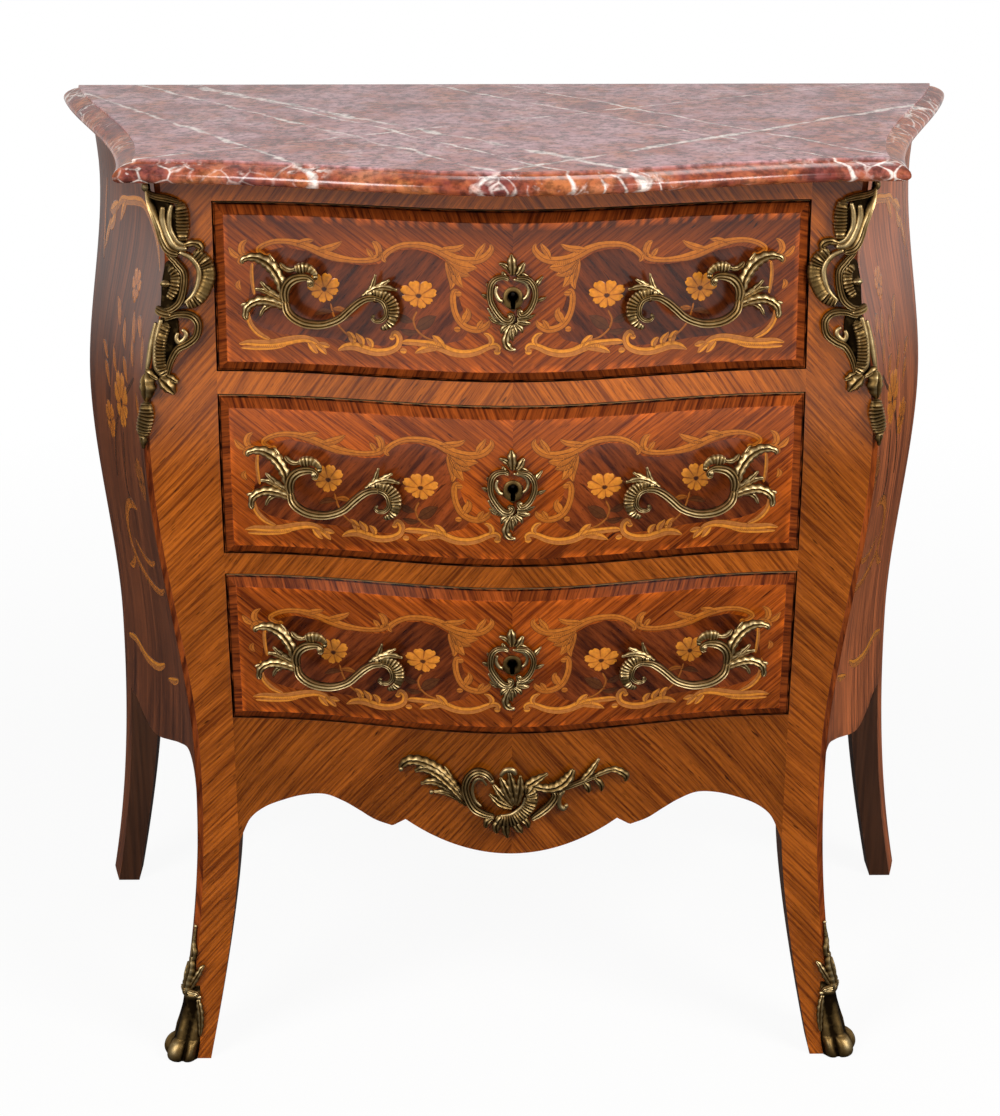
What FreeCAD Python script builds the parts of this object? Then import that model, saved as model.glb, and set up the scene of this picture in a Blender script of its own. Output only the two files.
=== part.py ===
import FreeCAD, Part
import math
import os

V = FreeCAD.Vector

# A serpentine, bombe commode with a marble top and three drawers. Millimetres.
# X to the right, Y to the back, Z up; the origin is on the floor below the middle of the top.

# Marble top
HEIGHT = 850.0
TOP_WIDTH = 864.0
TOP_DEPTH = 462.0
SLAB = 18.0
TOP_CORNER_HALF = 328.0
TOP_BOW = 58.0
EDGE_MOULD = 15.0
BACK_OVERHANG = 8.0
TOP_BOW_POWER = 1.2
EDGE_SHARES = ((1.0, 0.42), (0.9, 0.14), (0.74, 0.0), (0.52, 0.06), (0.33, 0.32), (0.2, 0.68), (0.15, 0.97))

# Swelling outline of the carcass: half widths at the front corners and at the back
FRONT_FOOT_HALF = 318.0
FRONT_ANKLE_HALF = 288.0
FRONT_BELLY_HALF = 316.0
FRONT_WAIST_HALF = 292.0
FRONT_TOP_HALF = 299.0
REAR_FOOT_HALF = 428.0
REAR_ANKLE_HALF = 403.0
REAR_BELLY_HALF = 422.0
REAR_WAIST_HALF = 400.0
REAR_TOP_HALF = 404.0
ANKLE_Z = 295.0
FRONT_BELLY_Z = 612.0
REAR_BELLY_Z = 550.0
WAIST_DROP = 63.0

# Depth of the carcass from its back to the flat of the front posts, and the bow between them
FOOT_DEPTH = 390.0
ANKLE_DEPTH = 366.0
BELLY_DEPTH = 388.0
CROWN_DEPTH = 368.0
DEPTH_ANKLE_Z = 215.0
DEPTH_BELLY_Z = 570.0
FRONT_BOW = 39.0
BOW_HALF = 300.0
BOW_POWER = 1.6
FLARE_POWER = 2.3
SIDE_POWER = 1.7

# Frame members
OPENING_HALF = 250.7
APRON_TOP = 344.0
TOP_RAIL = 19.0
RAIL = 19.5
RAIL_DEPTH = 18.0
APRON_DEPTH = 22.0
POST_DEPTH = 46.0
POST_CANT = 6.0
LEG_FOOT_INNER = 283.0
LEG_FOOT_DEPTH = 36.0
LEG_TOP_Z = 213.0
LEG_POWER = 1.35
REAR_POST = 34.0
REAR_POST_INNER = 366.0
REAR_FOOT_INNER = 397.0
REAR_LEG_TOP_Z = 205.0
SIDE_THICK = 18.0
BACK_THICK = 12.0
BACK_DROP = 44.0
BOTTOM_THICK = 10.0
TOP_FRAME = 22.0
TOP_FRAME_WIDE = 40.0

# Shaped lower edges of the apron and of the sides
LOBE_HALF = 96.0
LOBE_Z = 222.0
NOTCH_Z = 251.0
CUSP_HALF = 108.0
CUSP_Z = 243.0
ARCH_HALF = 170.0
ARCH_Z = 269.0
ARCH_SHARES = ((1.0, 0.0), (0.85, 0.5), (0.5, 0.83), (0.0, 1.0))
FLANK_SHARES = (0.5, 0.0)
SIDE_LOW_Z = 218.0
SIDE_ARCH = 44.0
SIDE_EDGE_SHARES = ((0.0, 0.1), (0.08, 0.72), (0.2, 0.98), (0.34, 0.73), (0.48, 0.39), (0.6, 0.11),
                    (0.7, 0.0), (0.82, 0.11), (0.91, 0.25), (1.0, 0.2))

# Drawers
FRONT_GAP = 1.2
FRONT_THICK = 15.0
FRONT_PROUD = 7.0
FRONT_BEVEL = 9.0
RUN_GAP = 0.3
GLUE_LINE = 0.1
DRAWER_SIDE = 12.0
DRAWER_SIDE_HIGH = 118.0
DRAWER_HALF = 238.4
DRAWER_REAR_GAP = 18.0
DRAWER_BACK = 10.0
DRAWER_FLOOR = 6.0
DRAWER_FLOOR_RISE = 8.0
GROOVE = 5.0
TAILS = 3
TAIL_LONG = 10.0
TAIL_HALF = 11.0
TAIL_ROOT_HALF = 8.0
RUNNER_WIDE = 28.0
RUNNER_HIGH = 14.0
GUIDE_HIGH = 24.0

# Locks
LOCK_HALF = 29.0
LOCK_HIGH = 84.0
LOCK_WALL = 2.5
BOLT_HALF = 12.0
BOLT_THICK = 6.0
BOLT_LONG = 30.0
BOLT_BEHIND = 2.0
KEY_PIN_R = 1.5
KEYHOLE_R = 4.0
KEYHOLE_SLOT = 3.6
KEYHOLE_LONG = 11.0
KEYHOLE_DROP = 2.0

# Cast pulls
PULL_X = 227.0
PULL_WIDE = 136.0
PULL_HIGH = 66.0
PULL_OUT = 28.0
PULL_BAR = 6.0
PIN_R = 3.2
SCREW_R = 2.0
NUT = 9.0
NUT_THICK = 3.5
PULL_PINS_SHARES = ((0.15, 0.86), (0.83, 0.47))
PULL_BAIL_SHARES = (
    (0.44, 0.62, 0.5, 0.5), (0.47, 0.72, 0.5, 0.6), (0.41, 0.8, 0.5, 0.85), (0.34, 0.7, 0.55, 0.75),
    (0.31, 0.5, 0.6, 0.8), (0.34, 0.26, 0.75, 0.85), (0.43, 0.11, 0.9, 0.85), (0.54, 0.11, 0.92, 0.8),
    (0.65, 0.22, 0.85, 0.75), (0.74, 0.38, 0.7, 0.75), (0.82, 0.47, 0.45, 0.9), (0.9, 0.4, 0.32, 1.2),
    (0.94, 0.26, 0.28, 1.3), (0.91, 0.13, 0.24, 1.0), (0.85, 0.13, 0.22, 0.5))
PULL_LEAF_SHARES = (
    ((0.33, 0.34, 0.68, 0.7), (0.27, 0.55, 0.5, 0.9), (0.2, 0.78, 0.36, 1.1), (0.12, 0.9, 0.3, 0.9),
     (0.03, 0.88, 0.25, 0.4)),
    ((0.35, 0.26, 0.72, 0.7), (0.24, 0.36, 0.5, 0.9), (0.13, 0.36, 0.3, 1.2), (0.05, 0.28, 0.25, 1.1),
     (0.04, 0.13, 0.22, 0.5)),
    ((0.32, 0.4, 0.62, 0.6), (0.22, 0.5, 0.4, 0.7), (0.11, 0.56, 0.26, 0.4)),
    ((0.8, 0.46, 0.5, 0.6), (0.84, 0.6, 0.35, 0.7), (0.87, 0.75, 0.25, 0.4)))

# Keyhole cartouches
CARTOUCHE_WIDE = 50.0
CARTOUCHE_HIGH = 76.0
CARTOUCHE_OUT = 7.0
CARTOUCHE_BAR = 3.2
CARTOUCHE_PLATE_R = 12.5
CARTOUCHE_PLATE = 2.2
CARTOUCHE_DROP = 3.5
KEYHOLE_SHARE = 0.57
CARTOUCHE_SHARES = (
    ((0.46, 0.74, 0.5, 0.7), (0.31, 0.76, 0.6, 1.0), (0.17, 0.68, 0.6, 1.2), (0.14, 0.56, 0.6, 1.2),
     (0.18, 0.44, 0.6, 1.2), (0.29, 0.33, 0.6, 1.1), (0.42, 0.29, 0.6, 0.9), (0.49, 0.36, 0.5, 0.6)),
    ((0.54, 0.74, 0.5, 0.7), (0.66, 0.77, 0.6, 1.0), (0.79, 0.71, 0.6, 1.2), (0.85, 0.6, 0.6, 1.2),
     (0.83, 0.49, 0.6, 1.1), (0.75, 0.4, 0.6, 0.9), (0.64, 0.38, 0.5, 0.6)),
    ((0.48, 0.7, 0.4, 0.9), (0.5, 0.85, 0.4, 1.3), (0.49, 0.99, 0.3, 0.5)),
    ((0.45, 0.76, 0.4, 0.8), (0.37, 0.86, 0.35, 0.9), (0.28, 0.91, 0.3, 0.4)),
    ((0.6, 0.76, 0.4, 0.9), (0.66, 0.86, 0.35, 1.1), (0.67, 0.92, 0.3, 0.4)),
    ((0.4, 0.3, 0.4, 1.0), (0.47, 0.21, 0.4, 2.2), (0.44, 0.1, 0.35, 1.3), (0.49, 0.01, 0.3, 0.5)),
    ((0.5, 0.33, 0.4, 0.9), (0.68, 0.3, 0.35, 1.2), (0.85, 0.37, 0.3, 0.4)),
    ((0.83, 0.6, 0.4, 0.9), (0.9, 0.68, 0.35, 0.9), (0.96, 0.77, 0.3, 0.4)))

# Corner mounts
CHUTE_LOW_Z = 603.0
CHUTE_HIGH = 224.0
CHUTE_WIDE = 40.0
CHUTE_OUT = 8.0
CHUTE_BAR = 3.6
CORNER_ROUND = 10.0
CHUTE_SHARES = (
    ((0.05, 0.985, 0.7, 1.0), (0.12, 0.94, 0.7, 1.5), (0.08, 0.87, 0.6, 1.5), (0.12, 0.81, 0.6, 1.3),
     (0.3, 0.765, 0.6, 1.1), (0.55, 0.755, 0.6, 1.2), (0.7, 0.765, 0.4, 1.0)),
    ((0.1, 0.945, 0.6, 1.2), (0.42, 0.945, 0.5, 1.3), (0.5, 0.88, 0.4, 1.4), (0.44, 0.81, 0.4, 1.4),
     (0.34, 0.765, 0.4, 1.0)),
    ((0.5, 0.755, 0.5, 1.0), (0.74, 0.715, 0.45, 1.3), (0.85, 0.66, 0.4, 1.5), (0.76, 0.6, 0.4, 1.3),
     (0.5, 0.545, 0.5, 1.0)),
    ((0.12, 0.78, 0.6, 1.2), (0.15, 0.72, 0.6, 1.3), (0.36, 0.66, 0.5, 1.3), (0.42, 0.6, 0.5, 1.2),
     (0.3, 0.55, 0.5, 1.1), (0.1, 0.525, 0.5, 1.2)),
    ((0.1, 0.53, 0.5, 1.2), (0.3, 0.55, 0.5, 1.1), (0.6, 0.54, 0.45, 1.2), (0.84, 0.5, 0.4, 1.3),
     (0.88, 0.45, 0.4, 1.3), (0.74, 0.4, 0.4, 1.2), (0.58, 0.37, 0.4, 1.1), (0.46, 0.285, 0.4, 0.9)),
    ((0.5, 0.54, 0.5, 1.0), (0.32, 0.49, 0.5, 1.3), (0.24, 0.42, 0.5, 1.5), (0.28, 0.33, 0.5, 1.3),
     (0.46, 0.28, 0.4, 0.9)),
    ((0.4, 0.285, 0.4, 1.1), (0.54, 0.25, 0.4, 1.4), (0.68, 0.215, 0.3, 0.8)),
    ((0.1, 0.54, 0.5, 1.1), (0.06, 0.42, 0.5, 1.2), (0.12, 0.28, 0.5, 1.6), (0.16, 0.19, 0.45, 1.8),
     (0.16, 0.09, 0.4, 1.5), (0.12, 0.0, 0.3, 0.6)),
    ((0.14, 0.29, 0.4, 0.9), (0.28, 0.29, 0.4, 0.9), (0.44, 0.285, 0.4, 0.9)))

# Apron mount
SPRAY_LEFT = -101.0
SPRAY_WIDE = 205.0
SPRAY_LOW_Z = 241.0
SPRAY_HIGH = 76.0
SPRAY_OUT = 9.0
SPRAY_BAR = 4.4
SPRAY_SHARES = (
    ((0.31, 0.4, 0.4, 0.8), (0.27, 0.56, 0.4, 1.2), (0.2, 0.78, 0.4, 1.4), (0.13, 0.92, 0.4, 1.2),
     (0.06, 0.97, 0.35, 1.0), (0.01, 0.9, 0.3, 0.5)),
    ((0.29, 0.46, 0.4, 0.9), (0.2, 0.62, 0.35, 1.1), (0.1, 0.68, 0.3, 0.5)),
    ((0.31, 0.38, 0.4, 0.7), (0.23, 0.49, 0.35, 0.8), (0.15, 0.54, 0.3, 0.6)),
    ((0.42, 0.74, 0.5, 0.6), (0.37, 0.84, 0.55, 0.9), (0.32, 0.79, 0.6, 1.1), (0.295, 0.62, 0.6, 1.2),
     (0.31, 0.42, 0.6, 1.2), (0.37, 0.32, 0.6, 1.1), (0.44, 0.28, 0.5, 1.0)),
    ((0.4, 0.78, 0.5, 0.8), (0.47, 0.82, 0.5, 1.8), (0.52, 0.68, 0.5, 2.4), (0.5, 0.48, 0.5, 1.6),
     (0.49, 0.34, 0.5, 1.0)),
    ((0.42, 0.26, 0.5, 0.9), (0.49, 0.24, 0.55, 1.6), (0.56, 0.35, 0.55, 1.8), (0.585, 0.53, 0.55, 1.5),
     (0.55, 0.66, 0.5, 1.0)),
    ((0.46, 0.3, 0.4, 1.2), (0.48, 0.14, 0.35, 2.2), (0.48, 0.01, 0.3, 0.7)),
    ((0.5, 0.16, 0.4, 1.2), (0.57, 0.2, 0.45, 1.2), (0.64, 0.4, 0.5, 1.1), (0.69, 0.56, 0.5, 1.1),
     (0.73, 0.68, 0.45, 1.3), (0.77, 0.84, 0.4, 0.7)),
    ((0.55, 0.66, 0.5, 0.9), (0.61, 0.7, 0.45, 1.1), (0.7, 0.62, 0.45, 1.1), (0.78, 0.63, 0.4, 1.0),
     (0.86, 0.72, 0.35, 1.1), (0.94, 0.8, 0.3, 1.1), (0.99, 0.68, 0.3, 0.6)),
    ((0.8, 0.66, 0.4, 0.8), (0.85, 0.82, 0.35, 1.0), (0.87, 0.97, 0.3, 0.4)),
    ((0.68, 0.6, 0.4, 0.8), (0.7, 0.46, 0.35, 0.7), (0.73, 0.38, 0.3, 0.8)))

# Foot mounts
SABOT_HIGH = 62.0
SABOT_WIDE = 18.0
SABOT_SKIN = 3.0
STEM_HIGH = 128.0
STEM_BAR = 3.4
SABOT_SHARES = ((0.0, 2.2, 1.0), (0.13, 3.6, 1.0), (0.26, 2.8, 1.0), (0.38, 1.5, 1.05), (0.65, 1.0, 1.1),
                (0.9, 1.1, 0.95), (1.0, 1.6, 0.9))
STEM_SHARES = (0.42, 0.56, 0.7, 0.84, 1.0)
STEM_BAR_SHARES = (2.4, 1.7, 1.6, 1.1, 0.7)

# Counts of the sampled rows, and lengths that only reach past what they cut
ACROSS = 11
UPWARD = 4
TALL = 11
BAR_SIDES = 6
POST_ROWS = 20
REACH = TOP_DEPTH

BACK_Y = TOP_DEPTH / 2 - BACK_OVERHANG
CARCASS_TOP = HEIGHT - SLAB
WAIST_Z = CARCASS_TOP - WAIST_DROP
OPENING = (CARCASS_TOP - TOP_RAIL - APRON_TOP - 2 * RAIL) / 3
LOWER_Z = APRON_TOP
MIDDLE_Z = LOWER_Z + OPENING + RAIL
UPPER_Z = MIDDLE_Z + OPENING + RAIL
FRONT_HALF = OPENING_HALF - FRONT_GAP
REAR_FACE = BACK_Y - BACK_THICK
DRAWER_END = REAR_FACE - DRAWER_REAR_GAP

FRONT_CORNER = ((ANKLE_Z, FRONT_ANKLE_HALF), (FRONT_BELLY_Z, FRONT_BELLY_HALF),
                (WAIST_Z, FRONT_WAIST_HALF), (CARCASS_TOP, FRONT_TOP_HALF))
REAR_CORNER = ((ANKLE_Z, REAR_ANKLE_HALF), (REAR_BELLY_Z, REAR_BELLY_HALF),
               (WAIST_Z, REAR_WAIST_HALF), (CARCASS_TOP, REAR_TOP_HALF))
DEPTHS = ((DEPTH_ANKLE_Z, ANKLE_DEPTH), (DEPTH_BELLY_Z, BELLY_DEPTH), (CARCASS_TOP, CROWN_DEPTH))


def steps(low, high, count):
    """Evenly spaced values from low to high."""
    return [low + (high - low) * k / (count - 1) for k in range(count)]


def ease(t):
    """A smooth S from 0 to 1."""
    return t * t * (3 - 2 * t)


def swell(z, foot, stations):
    """A size at height z: a curved flare to the foot, then an easy S from station to station."""
    ankle_z, ankle = stations[0]
    if z < ankle_z:
        return ankle + (foot - ankle) * (1 - z / ankle_z) ** FLARE_POWER
    for (z0, v0), (z1, v1) in zip(stations, stations[1:]):
        if z <= z1:
            return v0 + (v1 - v0) * ease((z - z0) / (z1 - z0))
    return stations[-1][1]


def flare(z, top_z, upper, foot):
    """The inner face of a leg: straight above top_z, then drawn to its foot in a slight curve."""
    if z >= top_z:
        return upper
    return upper + (foot - upper) * (1 - z / top_z) ** LEG_POWER


def stile_y(z):
    """Depth of the flat of the front posts."""
    return BACK_Y - swell(z, FOOT_DEPTH, DEPTHS)


def front_y(x, z):
    """The serpentine front: the stile's depth less a rounded cosine bow in the middle."""
    if abs(x) >= BOW_HALF:
        return stile_y(z)
    return stile_y(z) - FRONT_BOW * ((1 + math.cos(math.pi * x / BOW_HALF)) / 2) ** BOW_POWER


def sweep_out(t):
    """How the sides leave the front corner: slowly, then straight out to the back."""
    return (t ** SIDE_POWER + ease(t)) / 2


def side_x(y, z):
    """Half width of the bombe side at depth y and height z."""
    front = swell(z, FRONT_FOOT_HALF, FRONT_CORNER)
    rear = swell(z, REAR_FOOT_HALF, REAR_CORNER)
    t = (y - stile_y(z)) / (BACK_Y - stile_y(z))
    return front + (rear - front) * sweep_out(max(0, t))


def box(x0, x1, y0, y1, z0, z1):
    return Part.makeBox(x1 - x0, y1 - y0, z1 - z0, V(x0, y0, z0))


def curve(points):
    line = Part.BSplineCurve()
    line.interpolate(points)
    return line.toShape()


def sheet(point, us, vs):
    """A smooth face through a grid of points."""
    surface = Part.BSplineSurface()
    surface.interpolate([[point(u, v) for v in vs] for u in us])
    return surface.toShape()


def front_sheet(half, z0, z1, proud):
    """The serpentine front between two heights, moved out by proud."""
    def point(x, z):
        return V(x, front_y(x, z) - proud, z)

    return sheet(point, steps(-half, half, ACROSS), steps(z0, z1, UPWARD))


def ahead(z0, z1, depth):
    """All that lies in front of the serpentine surface set back by depth."""
    return front_sheet(OPENING_HALF, z0, z1, -depth).extrude(V(0, -REACH, 0))


def prism(wire, way):
    return Part.Face(wire).extrude(way)


def mirrored(shape):
    return shape.mirror(V(0, 0, 0), V(1, 0, 0))


def mend(shape):
    """One clean solid, facing outwards."""
    solid = shape.Solids[0] if shape.Solids else Part.Solid(shape.Shells[0])
    if solid.Volume < 0:
        solid.reverse()
    return solid


def biggest(shape):
    return max(shape.Solids, key=lambda s: s.Volume)


def top_outline(inset, z):
    """Plan of the marble: bowed front, sweeping sides, straight back."""
    back = TOP_DEPTH / 2
    corner_y = TOP_BOW - TOP_DEPTH / 2 + inset
    corner = TOP_CORNER_HALF - inset
    rear = TOP_WIDTH / 2 - inset
    bow = [V(corner * s, corner_y - TOP_BOW * ((1 + math.cos(math.pi * s)) / 2) ** TOP_BOW_POWER, z)
           for s in steps(-1, 1, ACROSS)]
    side = [(corner + (rear - corner) * sweep_out(t), corner_y + (back - corner_y) * t)
            for t in steps(0, 1, UPWARD + 1)]
    right = [V(x, y, z) for x, y in side]
    left = [V(-x, y, z) for x, y in reversed(side)]
    return Part.Wire([curve(bow), curve(right), Part.makeLine(right[-1], left[0]), curve(left)])


def marble_top():
    """A slab with a rounded, stepped moulding worked round its front and sides."""
    rows = [top_outline(EDGE_MOULD * inset, HEIGHT - SLAB * drop) for drop, inset in EDGE_SHARES]
    step_z = HEIGHT - SLAB * EDGE_SHARES[-1][0]
    plate = prism(top_outline(EDGE_MOULD, step_z), V(0, 0, HEIGHT - step_z))
    return mend(Part.makeLoft(rows, True, True).fuse(plate).removeSplitter())


def loft_rows(section, heights):
    """A smooth solid through plan sections at the given heights."""
    wires = []
    for z in heights:
        points = [V(x, y, z) for x, y in section(z)]
        wires.append(Part.makePolygon(points + points[:1]))
    return mend(Part.makeLoft(wires, True, False))


def front_post_section(z):
    """Stile, narrow canted corner strip and side return of a front post, down to its foot."""
    front = stile_y(z)
    rear = front + flare(z, LEG_TOP_Z, POST_DEPTH, LEG_FOOT_DEPTH)
    inner = flare(z, LEG_TOP_Z, OPENING_HALF, LEG_FOOT_INNER)
    corner = side_x(front, z)
    return ((inner, front), (corner - POST_CANT, front), (corner, front + POST_CANT),
            (side_x(rear, z), rear), (inner, rear))


def rear_post_section(z):
    """A rear post and its leg: square to the wall, swelling with the side."""
    front = BACK_Y - REAR_POST
    inner = flare(z, REAR_LEG_TOP_Z, REAR_POST_INNER, REAR_FOOT_INNER)
    return ((inner, front), (side_x(front, z), front), (side_x(BACK_Y, z), BACK_Y), (inner, BACK_Y))


def side_panel():
    """The bombe side between its two posts, with a shaped lower edge."""
    low = SIDE_LOW_Z - SIDE_ARCH

    def point(s, z):
        start = stile_y(z) + POST_DEPTH
        y = start + (BACK_Y - REAR_POST - start) * s
        return V(side_x(y, z), y, z)

    face = sheet(point, steps(0, 1, UPWARD + 1), steps(low, CARCASS_TOP, TALL))
    panel = face.extrude(V(-SIDE_THICK, 0, 0))
    start = stile_y(SIDE_LOW_Z) + POST_DEPTH
    span = BACK_Y - REAR_POST - start
    edge = [V(0, start + span * s, SIDE_LOW_Z + SIDE_ARCH * rise) for s, rise in SIDE_EDGE_SHARES]
    first = V(0, start - POST_DEPTH, edge[0].z)
    last = V(0, BACK_Y, edge[-1].z)
    below = [V(0, last.y, 0), V(0, first.y, 0)]
    sides = Part.makePolygon([edge[-1], last] + below + [first, edge[0]]).Edges
    return biggest(panel.cut(prism(Part.Wire([curve(edge)] + sides), V(TOP_WIDTH, 0, 0))))


def apron_edge():
    """Lower outline of the apron: two arches, cusps with a notch, and a round lobe in the middle."""
    def arch(sign):
        span = OPENING_HALF - ARCH_HALF
        rise = ARCH_Z - LEG_TOP_Z
        flank = ARCH_HALF - CUSP_HALF
        fall = ARCH_Z - CUSP_Z
        points = [(ARCH_HALF + span * along, LEG_TOP_Z + rise * up) for along, up in ARCH_SHARES]
        points += [(CUSP_HALF + flank * down, CUSP_Z + fall * down) for down in FLANK_SHARES]
        return [V(sign * x, 0, z) for x, z in points]

    right = arch(1)
    left = arch(-1)
    notch = V(LOBE_HALF, 0, NOTCH_Z)
    lobe = Part.Arc(notch, V(0, 0, LOBE_Z), V(-LOBE_HALF, 0, NOTCH_Z)).toShape()
    floor = Part.makePolygon([left[0], V(-OPENING_HALF, 0, 0), V(OPENING_HALF, 0, 0), right[0]]).Edges
    edges = [curve(right), Part.makeLine(right[-1], notch), lobe,
             Part.makeLine(V(-LOBE_HALF, 0, NOTCH_Z), left[-1]), curve(left[::-1])]
    return Part.Wire(edges + floor)


def front_apron(posts):
    """The shaped apron, fitted between the two front posts."""
    slab = front_sheet(OPENING_HALF, LEG_TOP_Z, APRON_TOP, 0).extrude(V(0, APRON_DEPTH, 0))
    tool = prism(apron_edge(), V(0, REACH, 0))
    tool.translate(V(0, -REACH / 2, 0))
    return biggest(slab.cut([tool] + posts))


def front_rail(z0, z1):
    return mend(front_sheet(OPENING_HALF, z0, z1, 0).extrude(V(0, RAIL_DEPTH, 0)))


def inner_face():
    """The inner face of the right side, carried on across both of its posts."""
    def point(y, z):
        return V(side_x(y, z) - SIDE_THICK, y, z)

    return sheet(point, steps(stile_y(CARCASS_TOP), BACK_Y, UPWARD + 1), steps(ANKLE_Z, CARCASS_TOP, TALL))


def bottom_board(posts):
    """The floor of the carcass, let in loosely between the apron, the sides, the posts and the back."""
    top = APRON_TOP - RUNNER_HIGH
    board = box(-TOP_WIDTH / 2, TOP_WIDTH / 2, -REACH, REAR_FACE, top - BOTTOM_THICK, top)
    board = board.cut(ahead(LEG_TOP_Z, APRON_TOP, APRON_DEPTH))
    outside = inner_face().extrude(V(TOP_WIDTH, 0, 0))
    outside.translate(V(-RUN_GAP, 0, 0))
    around = [outside] + posts
    return biggest(board.cut(around + [mirrored(piece) for piece in around]))


def runner(z_low):
    """A drawer runner, the guide that keeps the drawer straight and the stop behind it."""
    inner = OPENING_HALF - RUNNER_WIDE
    guide = DRAWER_HALF + RUN_GAP
    start = stile_y(z_low) + POST_DEPTH / 2
    base = box(inner, OPENING_HALF, -REACH, REAR_FACE, z_low - RUNNER_HIGH, z_low)
    strip = box(guide, OPENING_HALF, start, REAR_FACE, z_low, z_low + GUIDE_HIGH)
    stop = box(inner, guide, DRAWER_END + RUN_GAP, REAR_FACE, z_low, z_low + GUIDE_HIGH)
    front = APRON_DEPTH if z_low == LOWER_Z else RAIL_DEPTH
    base = base.cut(ahead(z_low - RAIL, z_low + RAIL, front))
    return biggest(base).multiFuse([strip, stop]).removeSplitter()


def pair(shape):
    return Part.makeCompound([shape, mirrored(shape)])


def ring(centre, across, out, width):
    """Corners of the six-sided section of a cast arm."""
    turns = [2 * math.pi * k / BAR_SIDES for k in range(BAR_SIDES)]
    return [centre + across * (width * math.cos(a)) + out * (width * math.sin(a)) for a in turns]


def facet(*points):
    return Part.Face(Part.makePolygon(list(points) + [points[0]]))


def faceted_loft(rings):
    """A closed solid of flat facets through rings of corners, with flat ends."""
    faces = [facet(*rings[0]), facet(*rings[-1])]
    for near, far in zip(rings, rings[1:]):
        for k in range(len(near)):
            n = (k + 1) % len(near)
            faces.append(facet(near[k], near[n], far[n]))
            faces.append(facet(near[k], far[n], far[k]))
    shell = Part.makeShell(faces)
    shell.sewShape()
    return mend(shell)


def arm(place, rows):
    """A cast arm: the section carried along a path of (along, up, out, width) rows."""
    centres = [place(u, w, d) for u, w, d, width in rows]
    rings = []
    for k, (u, w, d, width) in enumerate(rows):
        out = place(u, w, d + width) - centres[k]
        tangent = centres[min(k + 1, len(rows) - 1)] - centres[max(k - 1, 0)]
        across = tangent.cross(out).normalize()
        rings.append(ring(centres[k], across, across.cross(tangent).normalize(), width))
    return faceted_loft(rings)


def casting(place, tables, wide, high, out, bar):
    """One casting: all its arms, given as shares of its own sizes, run together."""
    arms = [arm(place, [(wide * u, high * w, out * d, bar * b) for u, w, d, b in rows]) for rows in tables]
    return arms[0].multiFuse(arms[1:])


def on_front(left_x, low_z, sign, proud):
    """Places on the serpentine front, counted from the outer end of a mount."""
    def place(u, w, d):
        x = sign * (left_x - u)
        z = low_z + w
        return V(x, front_y(x, z) - proud - d, z)
    return place


def on_corner(low_z):
    """Places round the right front corner: forward of it positive, along the side negative."""
    half = CORNER_ROUND * math.pi / 4

    def place(u, w, d):
        z = low_z + w
        y = stile_y(z)
        x = side_x(y, z)
        turn = math.pi / 4 * (1 + max(-1, min(1, u / half)))
        past = max(0, u - half)
        behind = max(0, -u - half)
        reach = CORNER_ROUND + d
        return V(x - CORNER_ROUND + reach * math.cos(turn) - past,
                 y + CORNER_ROUND - reach * math.sin(turn) + behind, z)
    return place


def pull(sign, z_low, front):
    """A fixed rococo pull: a scrolled bail between a leaf cluster and a shell, on two pins."""
    low = z_low + (OPENING - PULL_HIGH) / 2
    place = on_front(PULL_X, low, sign, FRONT_PROUD)
    tables = (PULL_BAIL_SHARES,) + PULL_LEAF_SHARES
    cast = casting(place, tables, PULL_WIDE, PULL_HIGH, PULL_OUT, PULL_BAR)
    for u, w in PULL_PINS_SHARES:
        foot = place(PULL_WIDE * u, PULL_HIGH * w, PULL_OUT / 3)
        cast = cast.fuse(Part.makeCylinder(PIN_R, PULL_OUT, foot, V(0, 1, 0)))
    return biggest(cast.cut(front))


def deepest(x, half_wide, z0, z1):
    """The foremost depth of the drawer front's inner face within a rectangle."""
    places = [(x + half_wide * s, z) for s in (-1, 0, 1) for z in (z0, z1)]
    return min(front_y(x_at, z) for x_at, z in places) + FRONT_THICK


def pull_screws(z_low):
    """A screw and square nut behind each pin of the two pulls, let into the drawer front."""
    low = z_low + (OPENING - PULL_HIGH) / 2
    screws = []
    for sign in (-1, 1):
        place = on_front(PULL_X, low, sign, FRONT_PROUD)
        for u, w in PULL_PINS_SHARES:
            head = place(PULL_WIDE * u, PULL_HIGH * w, -RUN_GAP)
            seat = deepest(head.x, NUT / 2, head.z - NUT / 2, head.z + NUT / 2)
            nut = box(head.x - NUT / 2, head.x + NUT / 2, seat, seat + NUT_THICK,
                      head.z - NUT / 2, head.z + NUT / 2)
            shank = Part.makeCylinder(SCREW_R, seat + NUT_THICK - head.y, head, V(0, 1, 0))
            screws.append(nut.fuse(shank).removeSplitter())
    return screws


def nut_pockets(screws):
    """Room behind each nut, so that it can be turned on from inside the drawer."""
    return [box(s.BoundBox.XMin, s.BoundBox.XMax, s.BoundBox.YMax - NUT_THICK, s.BoundBox.YMax + FRONT_THICK,
                s.BoundBox.ZMin, s.BoundBox.ZMax) for s in screws]


def keyhole(z_low):
    """A round hole with a slot below it, through the drawer front and its cartouche."""
    x, z = 0, z_low + OPENING / 2 - CARTOUCHE_DROP + (KEYHOLE_SHARE - 1 / 2) * CARTOUCHE_HIGH
    top = Part.makeCylinder(KEYHOLE_R, REACH, V(x, -REACH, z), V(0, 1, 0))
    slot = box(x - KEYHOLE_SLOT / 2, x + KEYHOLE_SLOT / 2, -REACH, 0, z - KEYHOLE_LONG, z)
    return top.fuse(slot), z


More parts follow.
